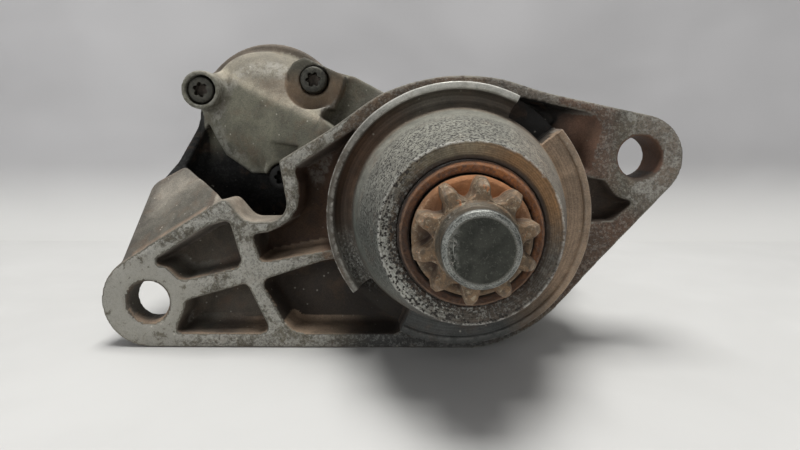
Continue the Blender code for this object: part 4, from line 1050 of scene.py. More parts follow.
def coating(name, light, dark, rough, metallic=0.0, scale=0.3, dust=0.2, bump=0.3,
            coat=0.0, chip=(0.30, 0.17, 0.10), chips=0.1):
    """Paint, plastic, rubber or ceramic with dust and small chips."""
    look = Look(name)
    blotch = look.noise(scale=scale, detail=5.0, rough=0.65, twist=0.4)
    grain = look.noise(scale=scale * 12, detail=3.0, rough=0.7, shift=7.0)
    colour = look.mix(look.between(blotch, start=0.3, end=0.7), dark, light)
    colour = look.mottle(colour, grain, amount=0.14)
    powder = look.noise(scale=scale * 0.5, detail=6.0, rough=0.7, twist=0.5, shift=37.0)
    powder = look.between(powder, start=0.45, end=0.75)
    colour = look.layer(colour, powder, over=(0.27, 0.245, 0.215), share=dust)
    nick = look.noise(scale=scale * 3.2, detail=5.0, rough=0.72, twist=0.3, shift=53.0)
    nick = look.between(nick, start=0.70 - chips * 0.3, end=0.74 - chips * 0.3)
    colour = look.layer(colour, nick, over=chip)
    dirt, wear = look.attribute("dirt"), look.attribute("wear")
    # dirt, and the shade painted into hollows, darken the colour
    colour = look.layer(colour, dirt, over=(0.05, 0.038, 0.03), share=0.8)
    colour = look.layer(colour, wear, over=chip, share=0.6)
    # dust dulls the surface; nicks are sunk
    roughness = look.plus(look.between(blotch, start=0.3, end=0.7, to=rough),
                          look.times(powder, 0.15), clamp=True)
    height = look.minus(look.times(grain, 0.5), look.times(nick, 0.8))
    return look.finish(colour, roughness, metallic, height, strength=bump, distance=0.2,
                       coat=coat)


CASTING = aged_casting()
RUSTY = worn_metal(
    "rusted_seal", light=(0.38, 0.170, 0.085), dark=(0.13, 0.070, 0.045),
    rust=(0.47, 0.180, 0.060), rust_share=0.5, rough=(0.75, 0.95), metallic=0.1, scale=1.1,
    scratch=0.1, bump=1.0, wear_to=(0.5, 0.33, 0.22))
BEARING = worn_metal(
    "bearing_steel", light=(0.50, 0.49, 0.47), dark=(0.33, 0.32, 0.30), rust_share=0.08,
    rough=(0.25, 0.45), metallic=0.95)
PINION = rusted_pinion()
SCREW = worn_metal(
    "phosphated_screw", light=(0.075, 0.073, 0.060), dark=(0.035, 0.034, 0.030),
    rust=(0.16, 0.10, 0.05), rust_share=0.05, rough=(0.42, 0.62), metallic=0.75, scale=0.8,
    scratch=0.1, bump=0.4, wear_to=(0.33, 0.31, 0.26))
# painted shade: a near-black finish for the screw deep in the hollow
SCREW_IN_SHADE = worn_metal(
    "screw_painted_in_shade", light=(0.010, 0.010, 0.009), dark=(0.006, 0.006, 0.006),
    rust=(0.02, 0.014, 0.01), rust_share=0.05, rough=(0.6, 0.8), metallic=0.3, scale=0.8,
    scratch=0.05, bump=0.4, wear_to=(0.03, 0.03, 0.028))
PAINT = coating(
    "black_motor_paint", light=(0.055, 0.053, 0.052), dark=(0.028, 0.027, 0.027),
    rough=(0.34, 0.55), scale=0.12, dust=0.42, bump=0.35, coat=0.15,
    chip=(0.26, 0.13, 0.07), chips=0.25)
ZINC = worn_metal(
    "yellow_zinc", light=(0.50, 0.47, 0.36), dark=(0.33, 0.30, 0.22),
    rust=(0.30, 0.14, 0.06), rust_share=0.28, rough=(0.38, 0.6), metallic=0.85, scale=0.18,
    along=(0.3, 3.0, 0.3), scratch=0.25)
STEEL = worn_metal(
    "plain_steel", light=(0.47, 0.46, 0.44), dark=(0.30, 0.29, 0.27), rust_share=0.12,
    rough=(0.3, 0.5), metallic=0.95, along=(3, 0.3, 3))
PLASTIC = coating(
    "black_cap_plastic", light=(0.040, 0.040, 0.042), dark=(0.022, 0.022, 0.023),
    rough=(0.42, 0.6), dust=0.35, chip=(0.12, 0.10, 0.085), chips=0.05)
COPPER = worn_metal(
    "copper", light=(0.60, 0.31, 0.18), dark=(0.36, 0.17, 0.10), rust=(0.16, 0.13, 0.09),
    rust_share=0.3, rough=(0.35, 0.6), metallic=0.9, scale=0.5, scratch=0.15, bump=0.3,
    wear_to=(0.75, 0.45, 0.3))
BRONZE = worn_metal(
    "tinned_bronze", light=(0.50, 0.38, 0.22), dark=(0.33, 0.24, 0.13),
    rust=(0.16, 0.12, 0.07), rough=(0.35, 0.55), metallic=0.9, scale=0.5)
FERRITE = coating(
    "ferrite", light=(0.075, 0.075, 0.078), dark=(0.05, 0.05, 0.052), rough=(0.6, 0.75),
    metallic=0.1, dust=0.12, chip=(0.14, 0.13, 0.12))
CARBON = coating(
    "brush_carbon", light=(0.062, 0.058, 0.055), dark=(0.04, 0.037, 0.035),
    rough=(0.55, 0.75), metallic=0.15, scale=0.6, dust=0.1, bump=0.35,
    chip=(0.30, 0.18, 0.11), chips=0.15)
NYLON = coating(
    "lever_nylon", light=(0.095, 0.082, 0.062), dark=(0.065, 0.055, 0.042),
    rough=(0.45, 0.65), bump=0.25)
RUBBER = coating(
    "rubber", light=(0.028, 0.027, 0.027), dark=(0.018, 0.018, 0.018), rough=(0.75, 0.9),
    scale=0.4, bump=0.4)


# ------------------------------------------------------------------ the housing
MOST_TRIANGLES, TARGET_TRIANGLES = 192000, 190000


def housing_zones(points, normals):
    """Masks of the housing's regions that both colour and finish depend on."""
    x, y, z = points.T
    radius = np.hypot(x, z)
    along, aside = lever_frame(x, z)
    face = (np.abs(y) < 0.5) & (normals[:, 1] < -0.8)
    edge_line = polygon_field(PLATE_OUTLINE, x, z)
    in_plate = (y < 17.0) & (y > 0.4) & (edge_line < -1.4)
    under = face * clip01((x + 38.0) / 12.0) * clip01((-35.5 - z) / 2.0)
    dome = (y > 19) & (y < 56) & (along > 40)
    shoulder = (x < -66) & (y > 0.6) & (y < 31) & (z < 15) & (normals[:, 2] > 0.25)

    def ball(centre_x, centre_y, centre_z, size, soft):
        distance = np.sqrt((x - centre_x) ** 2 + (y - centre_y) ** 2 + (z - centre_z) ** 2)
        return clip01((size - distance) / (size * soft))

    # painted shade: the hollow between shoulder and lever housing, and the wall to its left, are
    # painted near black
    void = clip01(ball(-70, 36, 2, 26, 0.25) + ball(-92, 40, 14, 9, 0.5))
    void = void * (y > 17.5) * (normals[:, 1] < 0.5) * (aside < -8.0)
    void = void * np.maximum(clip01((-18.5 - aside) / 3.0), clip01((y - 38.0) / 4.0))
    from_screw = away(x, z, SCREWS[0])
    shaded_left_wall = ((x < np.where(z > 16.0, -88.6, -84.0)) * (z > 6.5) * (z < 33.0)
                 * (y > 27.5) * (y < 56) * (from_screw > 8.6) * ~shoulder)
    void = clip01(void + shaded_left_wall * 0.93) * (from_screw > 8.0)

    bearing = np.degrees(np.arctan2(z, x))
    near_nose = (radius > 30.5) * (radius < 42.5) * (y < 13)
    # painted shade inside the upper slot and the plate's corner beside it
    upper_slot = ((y > -2) * near_nose * (bearing > 41.2) * (bearing < 62.6)
                  * (~face | (radius < 38.6)))
    corner = clip01(in_plate * (x > 10) * (z > 12) * (radius > 31)
                    * clip01((bearing - 36.0) / 7.0) + upper_slot)
    # painted shade inside the lower slot
    lower_slot = (y > 0.3) * near_nose * (bearing < -116.5) * (bearing > -142.6)
    return SimpleNamespace(
        radius=radius, along=along, aside=aside, face=face, in_plate=in_plate, under=under,
        dome=dome, shoulder=shoulder, void=void, corner=corner, lower_slot=lower_slot)


def housing_tint(points, normals, zone):
    x, y, z = points.T
    radius, along, aside = zone.radius, zone.along, zone.aside
    face, in_plate, dome, shoulder = zone.face, zone.in_plate, zone.dome, zone.shoulder
    left_pockets = in_plate * (x > -60)
    rim_out = (y > 0.4) & (y < 16.5) & ((z < -40.5) | (z > 0.3 * x + 12))
    far = away(x, z, RIGHT_EAR)
    off = away(x, z, SCREWS[1])
    recess = clip01((10.7 - off) / 0.5) * (y > 28) * (y < 42)
    outside_rim = (y > 48.5) & (y < 54.5) & (away(x, z, SOLENOID) > 24.6)
    back = ((y > 20) & (y < 50) & (x < -60) & (normals[:, 1] < -0.2) & (z < 24) & ~dome)
    # painted light on the notch's upward-facing wall
    lit_notch_wall = ((y > 0.6) * (y < 28) * (z > -6) * (z < 14) * (x > -74) * (x < -50)
                  * (normals[:, 2] > 0.3))
    return layered((0.185, 0.175, 0.146), [
        (face, (0.104, 0.094, 0.072)),
        # pockets
        (in_plate * (x < -56), (0.10, 0.084, 0.066)),
        (left_pockets * (x < -20) * (z > -18), (0.080, 0.050, 0.033)),
        (left_pockets * (x < -14) * (z <= -18), (0.046, 0.036, 0.028)),
        (in_plate * (x > 14) * (z > 8) * (radius > 38.5), (0.130, 0.074, 0.050)),
        (in_plate * (x > 40) * (z < 12), (0.085, 0.066, 0.052)),
        # painted light: walls that look up are lighter and tan
        (in_plate * (normals[:, 2] > 0.5) * (x < 0), (0.275, 0.205, 0.145)),
        (in_plate * (z < -14) * (x > -50) * (x < 0) * clip01((x + 44.0) / 16.0),
         (0.030, 0.024, 0.019)),
        # underside of the plate's rim
        (rim_out * (normals[:, 2] < -0.6), (0.16, 0.14, 0.12)),
        # ring of the face next to the nose
        (face * (radius < 42.5), (0.125, 0.090, 0.062)),
        (left_pockets * (x < -20) * (z > -18) * clip01((44.0 - radius) / 4.0),
         (0.115, 0.066, 0.043)),
        # the upper edge strip and the right ear are browner
        (face * (x > 8) * (z > 14) * (x < 46), (0.150, 0.128, 0.105)),
        (face * (x > 30) * clip01((far - 14.5) / 4.0), (0.130, 0.082, 0.058)),
        (face * (x > 30) * clip01((RIGHT_EAR[0] - 5.0 - x) / 6.0), (0.118, 0.078, 0.056)),
        (face * (x > 30) * clip01((x - RIGHT_EAR[0] + 5.0) / 8.0)
         * clip01((19.0 - far) / 4.0), (0.175, 0.150, 0.122)),
        (zone.under, (0.060, 0.060, 0.057)),
        # lever housing: painted light on its upper side, a painted highlight band along it, and
        # painted shade underneath
        (dome, (0.135, 0.131, 0.098)),
        (dome * clip01((aside - 6.0) / 4.0) * (along > 52.5), (0.240, 0.218, 0.172)),
        (dome * (along > 52.5) * np.exp(-(((aside - 8.2) / 1.9) ** 2)),
         (0.400, 0.362, 0.285)),
        (dome * clip01((-16.5 - aside) / 6.0), (0.020, 0.020, 0.018)),
        (dome * (along < 52.0) * (aside > 4.0), (0.165, 0.158, 0.122)),
        # round the second screw
        (recess, (0.155, 0.112, 0.072)),
        (recess * clip01((z - SCREWS[1][1] + 1.0) / 5.0), (0.080, 0.074, 0.056)),
        (dome * (x > SCREWS[1][0] + 3) * (off < 14.5) * (off > 10.0) * (y < 36.0),
         (0.120, 0.104, 0.080)),
        (outside_rim * (along > 54.0), (0.150, 0.125, 0.098)),
        # shoulder, with a painted highlight band across it and a painted light strip at its
        # front edge
        (shoulder, (0.108, 0.100, 0.082)),
        (shoulder * np.exp(-(((y - 20.5) / 5.5) ** 2)), (0.265, 0.240, 0.200)),
        (shoulder * clip01((y - 25.5) / 3.0), (0.150, 0.112, 0.084)),
        (shoulder * clip01((3.2 - y) / 1.6) * (x < -73.0), (0.230, 0.172, 0.125)),
        (shoulder * (x > -76.0), (0.125, 0.100, 0.078)),
        ((x < -100) * (y > 1.0) * (y < 30), (0.120, 0.108, 0.090)),
        # painted shade: the front-facing wall in the hollow, the hollow itself, the slots beside
        # the nose and the corner by the upper one
        (back * 0.9, (0.105, 0.085, 0.068)),
        (zone.void, (0.0045, 0.0045, 0.0045)),
        (zone.lower_slot, (0.034, 0.027, 0.021)),
        (zone.corner, (0.012, 0.010, 0.008)),
        # painted light on the upward wall below the notch
        (lit_notch_wall, (0.27, 0.235, 0.19)),
    ])


def housing_finish(obj, points, hollow, edge):
    """Colour, machined brightness, dirt with painted shade in the hollows, wear and pits of the
    housing.
    """
    normals = normals_of(obj)
    x, y, z = points.T
    zone = housing_zones(points, normals)
    face, radius = zone.face, zone.radius
    # the face is brightest round the left ear and in the middle
    machined = np.where(face, 1.04, 0.0)
    ear = clip01(1.6 - away(x, z, LEFT_EAR) / 13.0)
    middle = clip01(1.5 - np.hypot(x + 60.5, z + 19.0) / 8.0)
    machined = np.where(face, machined + np.maximum(ear * 0.21, middle * 0.34), machined)
    machined = np.where(face & (radius < 42.5), 0.10, machined)
    machined = np.where(face & (x > 5) & (z > 10) & (x < 48), 0.30, machined)
    right_ear = (np.clip((18.5 - away(x, z, RIGHT_EAR)) / 4.5, 0.08, 1.0)
                 * np.clip((x - RIGHT_EAR[0] + 9.5) / 6.0, 0.1, 0.92))
    machined = np.where(face & (x > 36), right_ear, machined)
    machined = machined * (1 - zone.under)

    # darker in hollows: dirt and painted shade
    dirt = clip01((hollow - 0.34) * 1.25) * 0.85
    dirt = np.where(face, dirt * 0.35, dirt) * (1 - zone.void) * (1 - zone.corner)
    wear = clip01((edge - 0.30) * 1.9) * np.where(y < 1.2, 0.75, 0.35)
    wear = np.where(radius < 42, wear * 0.4, wear) * (1 - zone.void)
    pit = (np.where(face, 0.40 - 0.30 * clip01(ear * 1.4), 0.0)
           + np.where(zone.shoulder, 0.06, 0.0) + np.where(zone.dome, 0.05, 0.0))
    write(obj, tint=housing_tint(points, normals, zone), mach=machined, dirt=dirt,
          wear=wear, pit=pit)


def lighten(obj):
    """Decimate a mesh with too many triangles."""
    count = len(obj.data.polygons) * 2
    if count > MOST_TRIANGLES:
        modifier = obj.modifiers.new("lighter", "DECIMATE")
        modifier.ratio = TARGET_TRIANGLES / count
        graph = bpy.context.evaluated_depsgraph_get()
        mesh = bpy.data.meshes.new_from_object(obj.evaluated_get(graph))
        obj.modifiers.clear()
        obj.data = mesh
        obj.data.shade_smooth()


def build_housing():
    step = 0.62
    xs = np.arange(-112.0, 70.5, step)
    zs = np.arange(-45.0, 60.0, step)
    # fine layers through the plate, coarser ones behind it
    ys = np.concatenate([
        np.arange(-9.5, -1.3, 1.6), np.arange(-1.24, 20.0, step),
        np.arange(20.4, 56.5, 0.8), np.arange(57.3, 82.0, 1.2)])
    field = casting_field(xs, ys, zs)
    verts, quads = surface_nets(field, (xs, ys, zs))
    obj = mesh_object("housing_casting", verts, quads)
    # the nose counts as a neighbour when the hollows are found
    x, y, z = xs[:, None, None], ys[None, :, None], zs[None, None, :]
    radius = np.hypot(x, z)
    nose = np.maximum(radius - (28.6 + (y + 6) * 0.18), y - 2.0)
    wall = np.maximum(np.abs(radius - 36.4) - 1.7, y - 1.0)
    nose = np.minimum(nose, np.where(y > -10, wall, 9.0))
    field = np.minimum(field, nose).astype(np.float32)
    hollow, edge = concavity(field, (xs, ys, zs), verts, obj, reach=(1.4, 4.0, 9.0))
    housing_finish(obj, verts, hollow, edge)
    lighten(obj)
    dress(obj, CASTING, "housing", "drive_housing")


# ------------------------------------------------------------------ the nose
# Outer skin, front, bore and inside of the nose: (r, y, corner radius).
NOSE_CORNERS = [
    (38.4, 1.8, 0), (38.0, -0.1, 0.3), (38.0, -10.0, 0.5), (36.1, -10.0, 0.5),
    (35.6, -7.4, 1.0), (34.4, -5.9, 1.2), (32.9, -5.6, 1.4), (30.9, -8.0, 2.6),
    (26.9, -26.0, 30.0), (22.3, -42.4, 6.0), (21.75, -44.25, 0.3), (21.25, -44.4, 0.15),
    (20.9, -44.1, 0.2), (17.6, -43.1, 0.3), (17.3, -42.4, 0.2), (17.1, -41.9, 0.3),
    (18.3, -41.9, 0.2), (18.3, -20.0, 0.6), (22.0, -18.5, 2.0), (25.0, -3.0, 2.0),
    (33.6, 4.2, 1.0), (34.0, 5.0, 0)]
# Gaps in the wall round the nose: first and last angle, and the colour inside, dark as painted
# shade.
NOSE_GAPS = [(41.0, 63.0, (0.010, 0.009, 0.008)), (217.0, 243.4, (0.026, 0.021, 0.016))]


def nose_angles():
    """Even steps round the nose, with extra ones at the ends of the gaps."""
    extra = [math.radians(end + offset) for *ends, _ in NOSE_GAPS for end in ends
             for offset in (-0.62, -0.3, 0.0, 0.3, 0.62)]
    every = np.concatenate([np.radians(np.arange(0, 360, 0.6)), extra])
    return np.unique(np.round(np.mod(every, math.tau), 5))


def nose_shape(profile):
    """The change round the axis: gaps, ledge, rough skin and the nicked lip."""
    foot = next(i for i, (_, y) in enumerate(profile) if y < -10.5)
    run = np.concatenate([[0], np.cumsum(np.hypot(*np.diff(np.array(profile), axis=0).T))])

    def change(turn, radius, y, index):
        degrees = np.degrees(turn)
        gone = np.zeros_like(degrees)
        for first, last, _ in NOSE_GAPS:
            ramp = clip01(degrees - first + 0.5) * clip01(last + 0.5 - degrees)
            gone = np.maximum(gone, ramp * ramp * (3 - 2 * ramp))
        # on the right and below, the wall is a solid ledge that meets the nose
        ledge = clip01(clip01((degrees - 243.0) / 1.2) + clip01((41.6 - degrees) / 1.2))
        filled = (radius > 30.2) & (radius < 37.2) & (y > -9.9) & (index < foot)
        raised = np.minimum(y, -9.2 + (37.0 - radius) * 0.24)
        y = np.where(filled, y + (raised - y) * ledge, y)
        in_wall = (radius > 31.6) & (y < 1.9) & (index < foot)
        sunk = np.where(in_wall, np.maximum(y, 2.2), y)
        y = y + (sunk - y) * gone * in_wall
        x, z = radius * np.cos(turn), radius * np.sin(turn)
        rough = (ripple(x, y, z, scale=0.35, seed=3) * 0.10
                 + ripple(x, y, z, scale=1.6, seed=4) * 0.015)
        skin = (index > 8) & (run[index] < 90)
        radius = radius + np.where(skin & (y > -44.0), rough, rough * 0.25)
        # the mouth's edge is nicked and corroded
        lip = np.exp(-(((y + 44.1) / 0.8) ** 2)) * (radius > 20.0)
        nicks = ripple(np.cos(turn) * 20, y * 0, np.sin(turn) * 20, scale=2.2, seed=8)
        radius = radius - (lip * clip01(nicks) * 0.12
                           * np.clip(angle_gap(degrees, 30) / 60, 0.2, 1))
        return radius, y

    return change


def paint_nose(obj):
    radius, y, degrees = round_shaft(obj)
    degrees = degrees % 360

    def near(angle, width, gain=1.0):
        return clip01(band(angle_gap(degrees, angle), 0, width) * gain)

    flank = clip01((-7.4 - y) / 2.0) * (radius < 31.4) * (radius > 20.0)
    front = (y < -42.8) * (radius < 21.5)
    trough = (radius > 30.6) & (radius < 36.2) & (y > -9.4)
    trough = trough * clip01((y + 9.6) / 2.0)
    wall_top = (radius > 35.9) & (y < -9.2)
    outer = (radius > 37.5) & (y > -9.6)
    right = np.where((degrees < 42) | (degrees > 243), 1.0, 0.0)
    dull = near(180, 62, 1.7) * (1 - right)
    flank_foot = flank * clip01((y + 13.5) / 4.0)
    ledge = (radius > 30.6) & (radius < 38.2) & (y > -10.2) & (y < -6.0)
    ledge = ledge * right
    tint = layered((0.215, 0.203, 0.175), [
        # lighter above and a little to the left and darker below, as painted light and shade;
        # darker grey to the left, brown towards the right and below
        (flank * near(100, 75, 1.4), (0.172, 0.170, 0.142)),
        (flank * near(195, 60, 1.3), (0.098, 0.106, 0.092)),
        (flank * near(330, 95, 1.2), (0.150, 0.122, 0.094)),
        (flank * near(265, 40, 1.5), (0.085, 0.084, 0.078)),
        (flank * near(42, 26) * 0.8, (0.225, 0.195, 0.155)),
        (front, (0.120, 0.106, 0.086)),
        (front * near(100, 55, 1.6), (0.200, 0.172, 0.118)),
        (front * near(40, 55, 1.6), (0.235, 0.135, 0.062)),
        (front * near(205, 62, 1.5) * clip01((radius - 18.6) / 1.2), (0.300, 0.300, 0.268)),
        # painted shade at the left of the mouth's inner edge
        (front * near(190, 70, 1.5) * clip01((19.4 - radius) / 0.8), (0.105, 0.075, 0.048)),
        (front * near(300, 50, 1.6), (0.085, 0.070, 0.056)),
        ((y < -41.0) & (radius < 17.9), (0.055, 0.034, 0.022)),
        (trough, (0.062, 0.050, 0.038)),
        # painted light on the trough's upper side
        (trough * near(105, 45), (0.120, 0.110, 0.088)),
        (outer, (0.110, 0.096, 0.078)),
        (wall_top, (0.345, 0.345, 0.315)),
        (wall_top * dull, (0.092, 0.080, 0.064)),
        # painted highlight, tan-brown, at the top of the flank's foot, and darker to the left
        (flank_foot * near(100, 80, 2), (0.185, 0.150, 0.112)),
        (flank_foot * near(190, 60, 2), (0.070, 0.060, 0.048)),
        (ledge, (0.310, 0.232, 0.165)),
        (ledge * near(62, 26), (0.300, 0.180, 0.095)),
        # painted shade on the ledge's underside
        (ledge * near(266, 56, 1.9), (0.078, 0.080, 0.076)),
        (outer * right, (0.190, 0.150, 0.118)),
        # painted shade on the wall's outside underneath
        (outer * near(270, 56, 1.9), (0.080, 0.080, 0.076)),
        (trough * near(150, 42, 1.3), (0.105, 0.062, 0.038)),
        (trough * near(206, 22) * 0.8, (0.20, 0.205, 0.185)),
    ])
    pit = (flank * (0.35 + 0.65 * near(140, 110, 1.6))
           + front * (0.25 + 0.75 * near(215, 100, 1.5)))
    pit = pit * np.where(flank > 0, 0.12 + 1.15 * clip01((-17.0 - y) / 10.0), 1.0)
    pit = pit + front * near(215, 60, 1.5) * clip01(radius - 18.4) * 0.6
    pit = pit * (1 - 0.85 * front * near(60, 90, 2)) + trough * near(206, 22) * 0.9
    machined = wall_top * (1 - right) * (1 - dull) * 0.9 + front * 0.12
    # darker in the trough and at the flank's foot: dirt and painted shade
    dirt = (trough * (1 - right) * 0.30
            + clip01((y + 11.0) / 3.5) * flank * (1 - right) * 0.25)
    # the insides of the gaps are painted dark as shade
    for first, last, colour in NOSE_GAPS:
        inside = (degrees > first) & (degrees < last) & (radius > 31.4)
        tint[inside & (y > -7.6)] = colour
        dirt = np.where(inside & (y > -7.6), 0.0, dirt)
        machined = np.where(inside, 0.0, machined)
    # painted shade fills the bore behind the seal
    dirt = np.where((radius < 18.1) & (y < -40.0), 1.0, dirt)
    wear = band(radius, 21.5, 0.5) * (y < -42.6) * 0.9
    # painted highlight along the top of the wall's front edge
    wear = wear + wall_top * near(92, 44, 1.6) * 0.85
    wear = (wear + band(radius, 36.3, 0.4) * (y < -9.3) * (1 - right * 0.7) * 0.8
            + band(radius, 37.9, 0.3) * (y < -9.3) * (1 - right * 0.6) * 0.9)
    write(obj, tint=tint, pit=np.clip(pit, 0, 1.7), mach=clip01(machined),
          dirt=clip01(dirt), wear=clip01(wear),
          lathe=clip01(front + trough * 0.6 + ledge * 0.12), reach=radius,
          plain=flank * 0.78,
          smooth=clip01(flank * (0.35 + 0.75 * clip01((y + 34.0) / 14.0))))


def build_nose():
    profile = refine(bevelled(NOSE_CORNERS, 0.3), 1.2)
    obj = turned("nose_casting", profile, angles=nose_angles(), change=nose_shape(profile),
                 sharp=55.0)
    paint_nose(obj)
    dress(obj, CASTING, "housing", "drive_housing")


# ------------------------------------------------------------------ seal and bearing
SEAL_CORNERS = [   # r, y, corner radius
    (15.2, -42.6, 0), (17.2, -42.6, 0.2), (17.2, -43.9, 0.2), (16.8, -44.3, 0.2),
    (16.8, -45.1, 0.5), (16.2, -45.95, 0.5), (14.9, -45.9, 0.5), (14.35, -45.2, 0.3),
    (14.3, -44.6, 0.2), (15.2, -42.6, 0)]
BEARING_CORNERS = [
    (14.9, -41.9, 0), (18.0, -41.9, 0.5), (18.0, -20.6, 0.5), (14.9, -20.6, 0.2),
    (14.9, -22.3, 0.1), (14.3, -22.9, 0.2), (14.3, -39.6, 0.2), (14.9, -40.2, 0.1),
    (14.9, -41.9, 0)]


def build_seal():
    def corroded(turn, radius, y, index):
        x, z = radius * np.cos(turn), radius * np.sin(turn)
        return (radius + ripple(x, y, z, scale=3.0, seed=21) * 0.09,
                y + ripple(x, y, z, scale=3.4, seed=22) * 0.13)

    seal = turned("nose_seal_ring", refine(bevelled(SEAL_CORNERS, 0.12), 0.5), steps=360,
                  closed=True, sharp=60.0, change=corroded)
    radius, y, degrees = round_shaft(seal)
    # painted shade on the seal away from its upper right, deeper in and at its inner edge
    lit_side = band(angle_gap(degrees, 60), 0, 120)
    dirt = (1 - lit_side) + clip01((y + 45.4) / 1.5) * 0.9
    spread(seal, dirt=dirt + clip01((14.75 - radius) / 0.3) * 0.6,
           wear=band(radius, 16.4, 0.4) * (y < -45.4) * 0.35)
    dress(seal, RUSTY, "housing", "nose_seal")


def build_bearing():
    bearing = turned("needle_bearing_cup", refine(bevelled(BEARING_CORNERS, 0.2), 2.0),
                     steps=120, closed=True)
    spread(bearing, dirt=0.2)
    dress(bearing, BEARING, "housing", "needle_bearing")


# ------------------------------------------------------------------ pinion
TEETH, MODULE, PRESSURE = 10, 2.33, math.radians(17.5)
ROOT_R = 9.35
TEETH_PHASE = math.radians(12.9)
FLANK_POINTS = 12
# Stations of the teeth: y, tip radius, trim of each flank.
TOOTH_STATIONS = [
    (-47.2, 14.0, -0.04), (-50.0, 14.0, -0.04), (-52.6, 14.0, -0.04), (-54.9, 13.95, -0.04),
    (-55.2, 13.8, -0.01), (-57.2, 12.5, 0.42), (-57.5, 12.2, 0.52), (-57.6, 11.8, 0.80)]
SHAFT_CORNERS = [   # r, y, corner radius
    (0.0, -65.7, 0), (6.5, -65.7, 0), (7.0, -65.7, 0.12), (7.85, -65.2, 0.2),
    (8.17, -64.6, 0.25), (8.17, -59.4, 0.4), (8.75, -58.9, 0.4), (9.3, -57.7, 0.6),
    (9.38, -48.3, 0.5), (13.0, -48.0, 0.6), (13.9, -47.1, 0.5), (13.9, 20.0, 0),
    (14.5, 20.6, 0.2), (14.5, 37.5, 0.3), (8.4, 37.5, 0.2), (8.4, -22.0, 0.3),
    (0.0, -24.0, 0)]


def involute(angle):
    return math.tan(angle) - angle


def tooth_ring(tip_r, thin):
    """The gear's outline, with the same number of points whatever the trims."""
    pitch_r = MODULE * TEETH / 2
    base_r = pitch_r * math.cos(PRESSURE)
    side = []
    for k in range(FLANK_POINTS):
        share = k / (FLANK_POINTS - 1)
        radius = ROOT_R + (tip_r - ROOT_R) * share
        angle = math.acos(min(1.0, base_r / max(radius, base_r)))
        half = (math.pi / (2 * TEETH) + involute(PRESSURE) - involute(angle)
                - thin / pitch_r)
        # root fillet and rubbed tip corners
        half += 1.55 / ROOT_R * max(0.0, 1 - share * 2.3) ** 2
        half -= 0.30 / tip_r * max(0.0, (share - 0.88) / 0.12) ** 2
        side.append((radius, max(half, 0.05)))
    tip_half = side[-1][1]
    tooth = [(radius, -half) for radius, half in side]
    tooth += [(tip_r, -0.3 * tip_half), (tip_r, 0.3 * tip_half)]
    tooth += reversed(side)
    centres = [TEETH_PHASE + math.tau * i / TEETH for i in range(TEETH)]
    return [(radius * math.cos(centre + turn), radius * math.sin(centre + turn))
            for centre in centres for radius, turn in tooth]


def build_pinion():
    rings = [[(x, y, z) for x, z in tooth_ring(tip_r, thin)]
             for y, tip_r, thin in TOOTH_STATIONS]
    ends = [(0, TOOTH_STATIONS[i][0], 0) for i in (0, -1)]
    gear = capped_tube("pinion_teeth", rings, ends)

    def rough(turn, radius, y, index):
        waves = ripple(radius * np.cos(turn), y, radius * np.sin(turn), scale=1.2, seed=31)
        return radius + np.where((y > -65.4) & (y < -40) & (radius > 1), waves * 0.06, 0.0), y

    shaft = turned("pinion_core", refine(bevelled(SHAFT_CORNERS, 0.2), 1.5), steps=160,
                   sharp=50.0, change=rough)
    pinion = merge("rusted_pinion", [gear, shaft], sharp=24.0)
    radius, y, degrees = round_shaft(pinion)
    upper = clip01(1.45 - angle_gap(degrees, 85) / 62)
    write(
        pinion,
        # the ground end face, and the shaft just behind it
        face=np.where((y < -65.55) & (radius < 6.95), 1.0,
                      np.where((y < -58.2) & (radius < 9.25), 0.72, 0.0)),
        ring=clip01((radius - 6.8) / 0.2) * (radius < 8.3) * clip01((-63.9 - y) / 0.8),
        glint=(band(radius, 7.05, 0.2) * 0.45 + band(radius, 7.95, 0.22) * 0.8)
        * (y < -64.3),
        orange=(y > -48.6) * (y < -46.6) * (radius > 9.6) * upper * 0.9)
    # painted shade between the teeth, heavier underneath, and behind the collar where the shaft
    # goes into the nose
    shade_between_teeth = (clip01((y + 56.8) / 6.0) * clip01((13.6 - radius) / 3.0)
                     * (1.15 - 0.55 * upper) * (y < -47))
    # the bright ring round the end's chamfer is rubbed metal and a painted highlight
    spread(pinion, dirt=shade_between_teeth + clip01(y + 47.3) * 0.5,
           wear=clip01((radius - 12.2) / 1.4) * (y < -55.6) * 0.7
           + band(radius, 7.75, 0.5) * (y < -64.6))
    dress(pinion, PINION, "pinion", "pinion_shaft")


# ------------------------------------------------------------------ solenoid screws
# For each screw: turn of the star recess, material, strength of the dirt and painted shade
# deeper in its seat.
SCREW_LOOKS = [(0.35, SCREW, 0.75), (0.95, SCREW, 0.75), (0.1, SCREW_IN_SHADE, 0.1)]


def screw_field(centre, spin):
    """A domed head with a six-lobed recess, its collar and its threaded shank."""
    def field(x, y, z):
        radius = away(x, z, centre)
        turn = np.arctan2(z - centre[1], x - centre[0]) + spin
        dome = 30.02 - y + np.clip(radius - 3.2, 0, 2) * 0.28
        body = smax(radius - 4.5, np.maximum(dome, y - 35.7), 0.7)
        body = smin(body, np.maximum(radius - 4.55, slab(y, 35.2, 0.5)), 0.3)
        star = 2.22 + 0.40 * np.cos(6 * turn) - 0.05 * np.cos(12 * turn)
        recess = np.maximum((radius - star) * 0.9,
                            y - 32.8 - np.clip(1.6 - radius, 0, 2) * 0.25)
        body = smax(body, -recess, 0.22)
        shank = np.maximum(radius - 2.55 - 0.12 * np.sin(math.tau * (y / 0.8) + turn),
                           np.maximum(35.0 - y, y - 60.4))
        return smin(body, shank, 0.2)

    return field


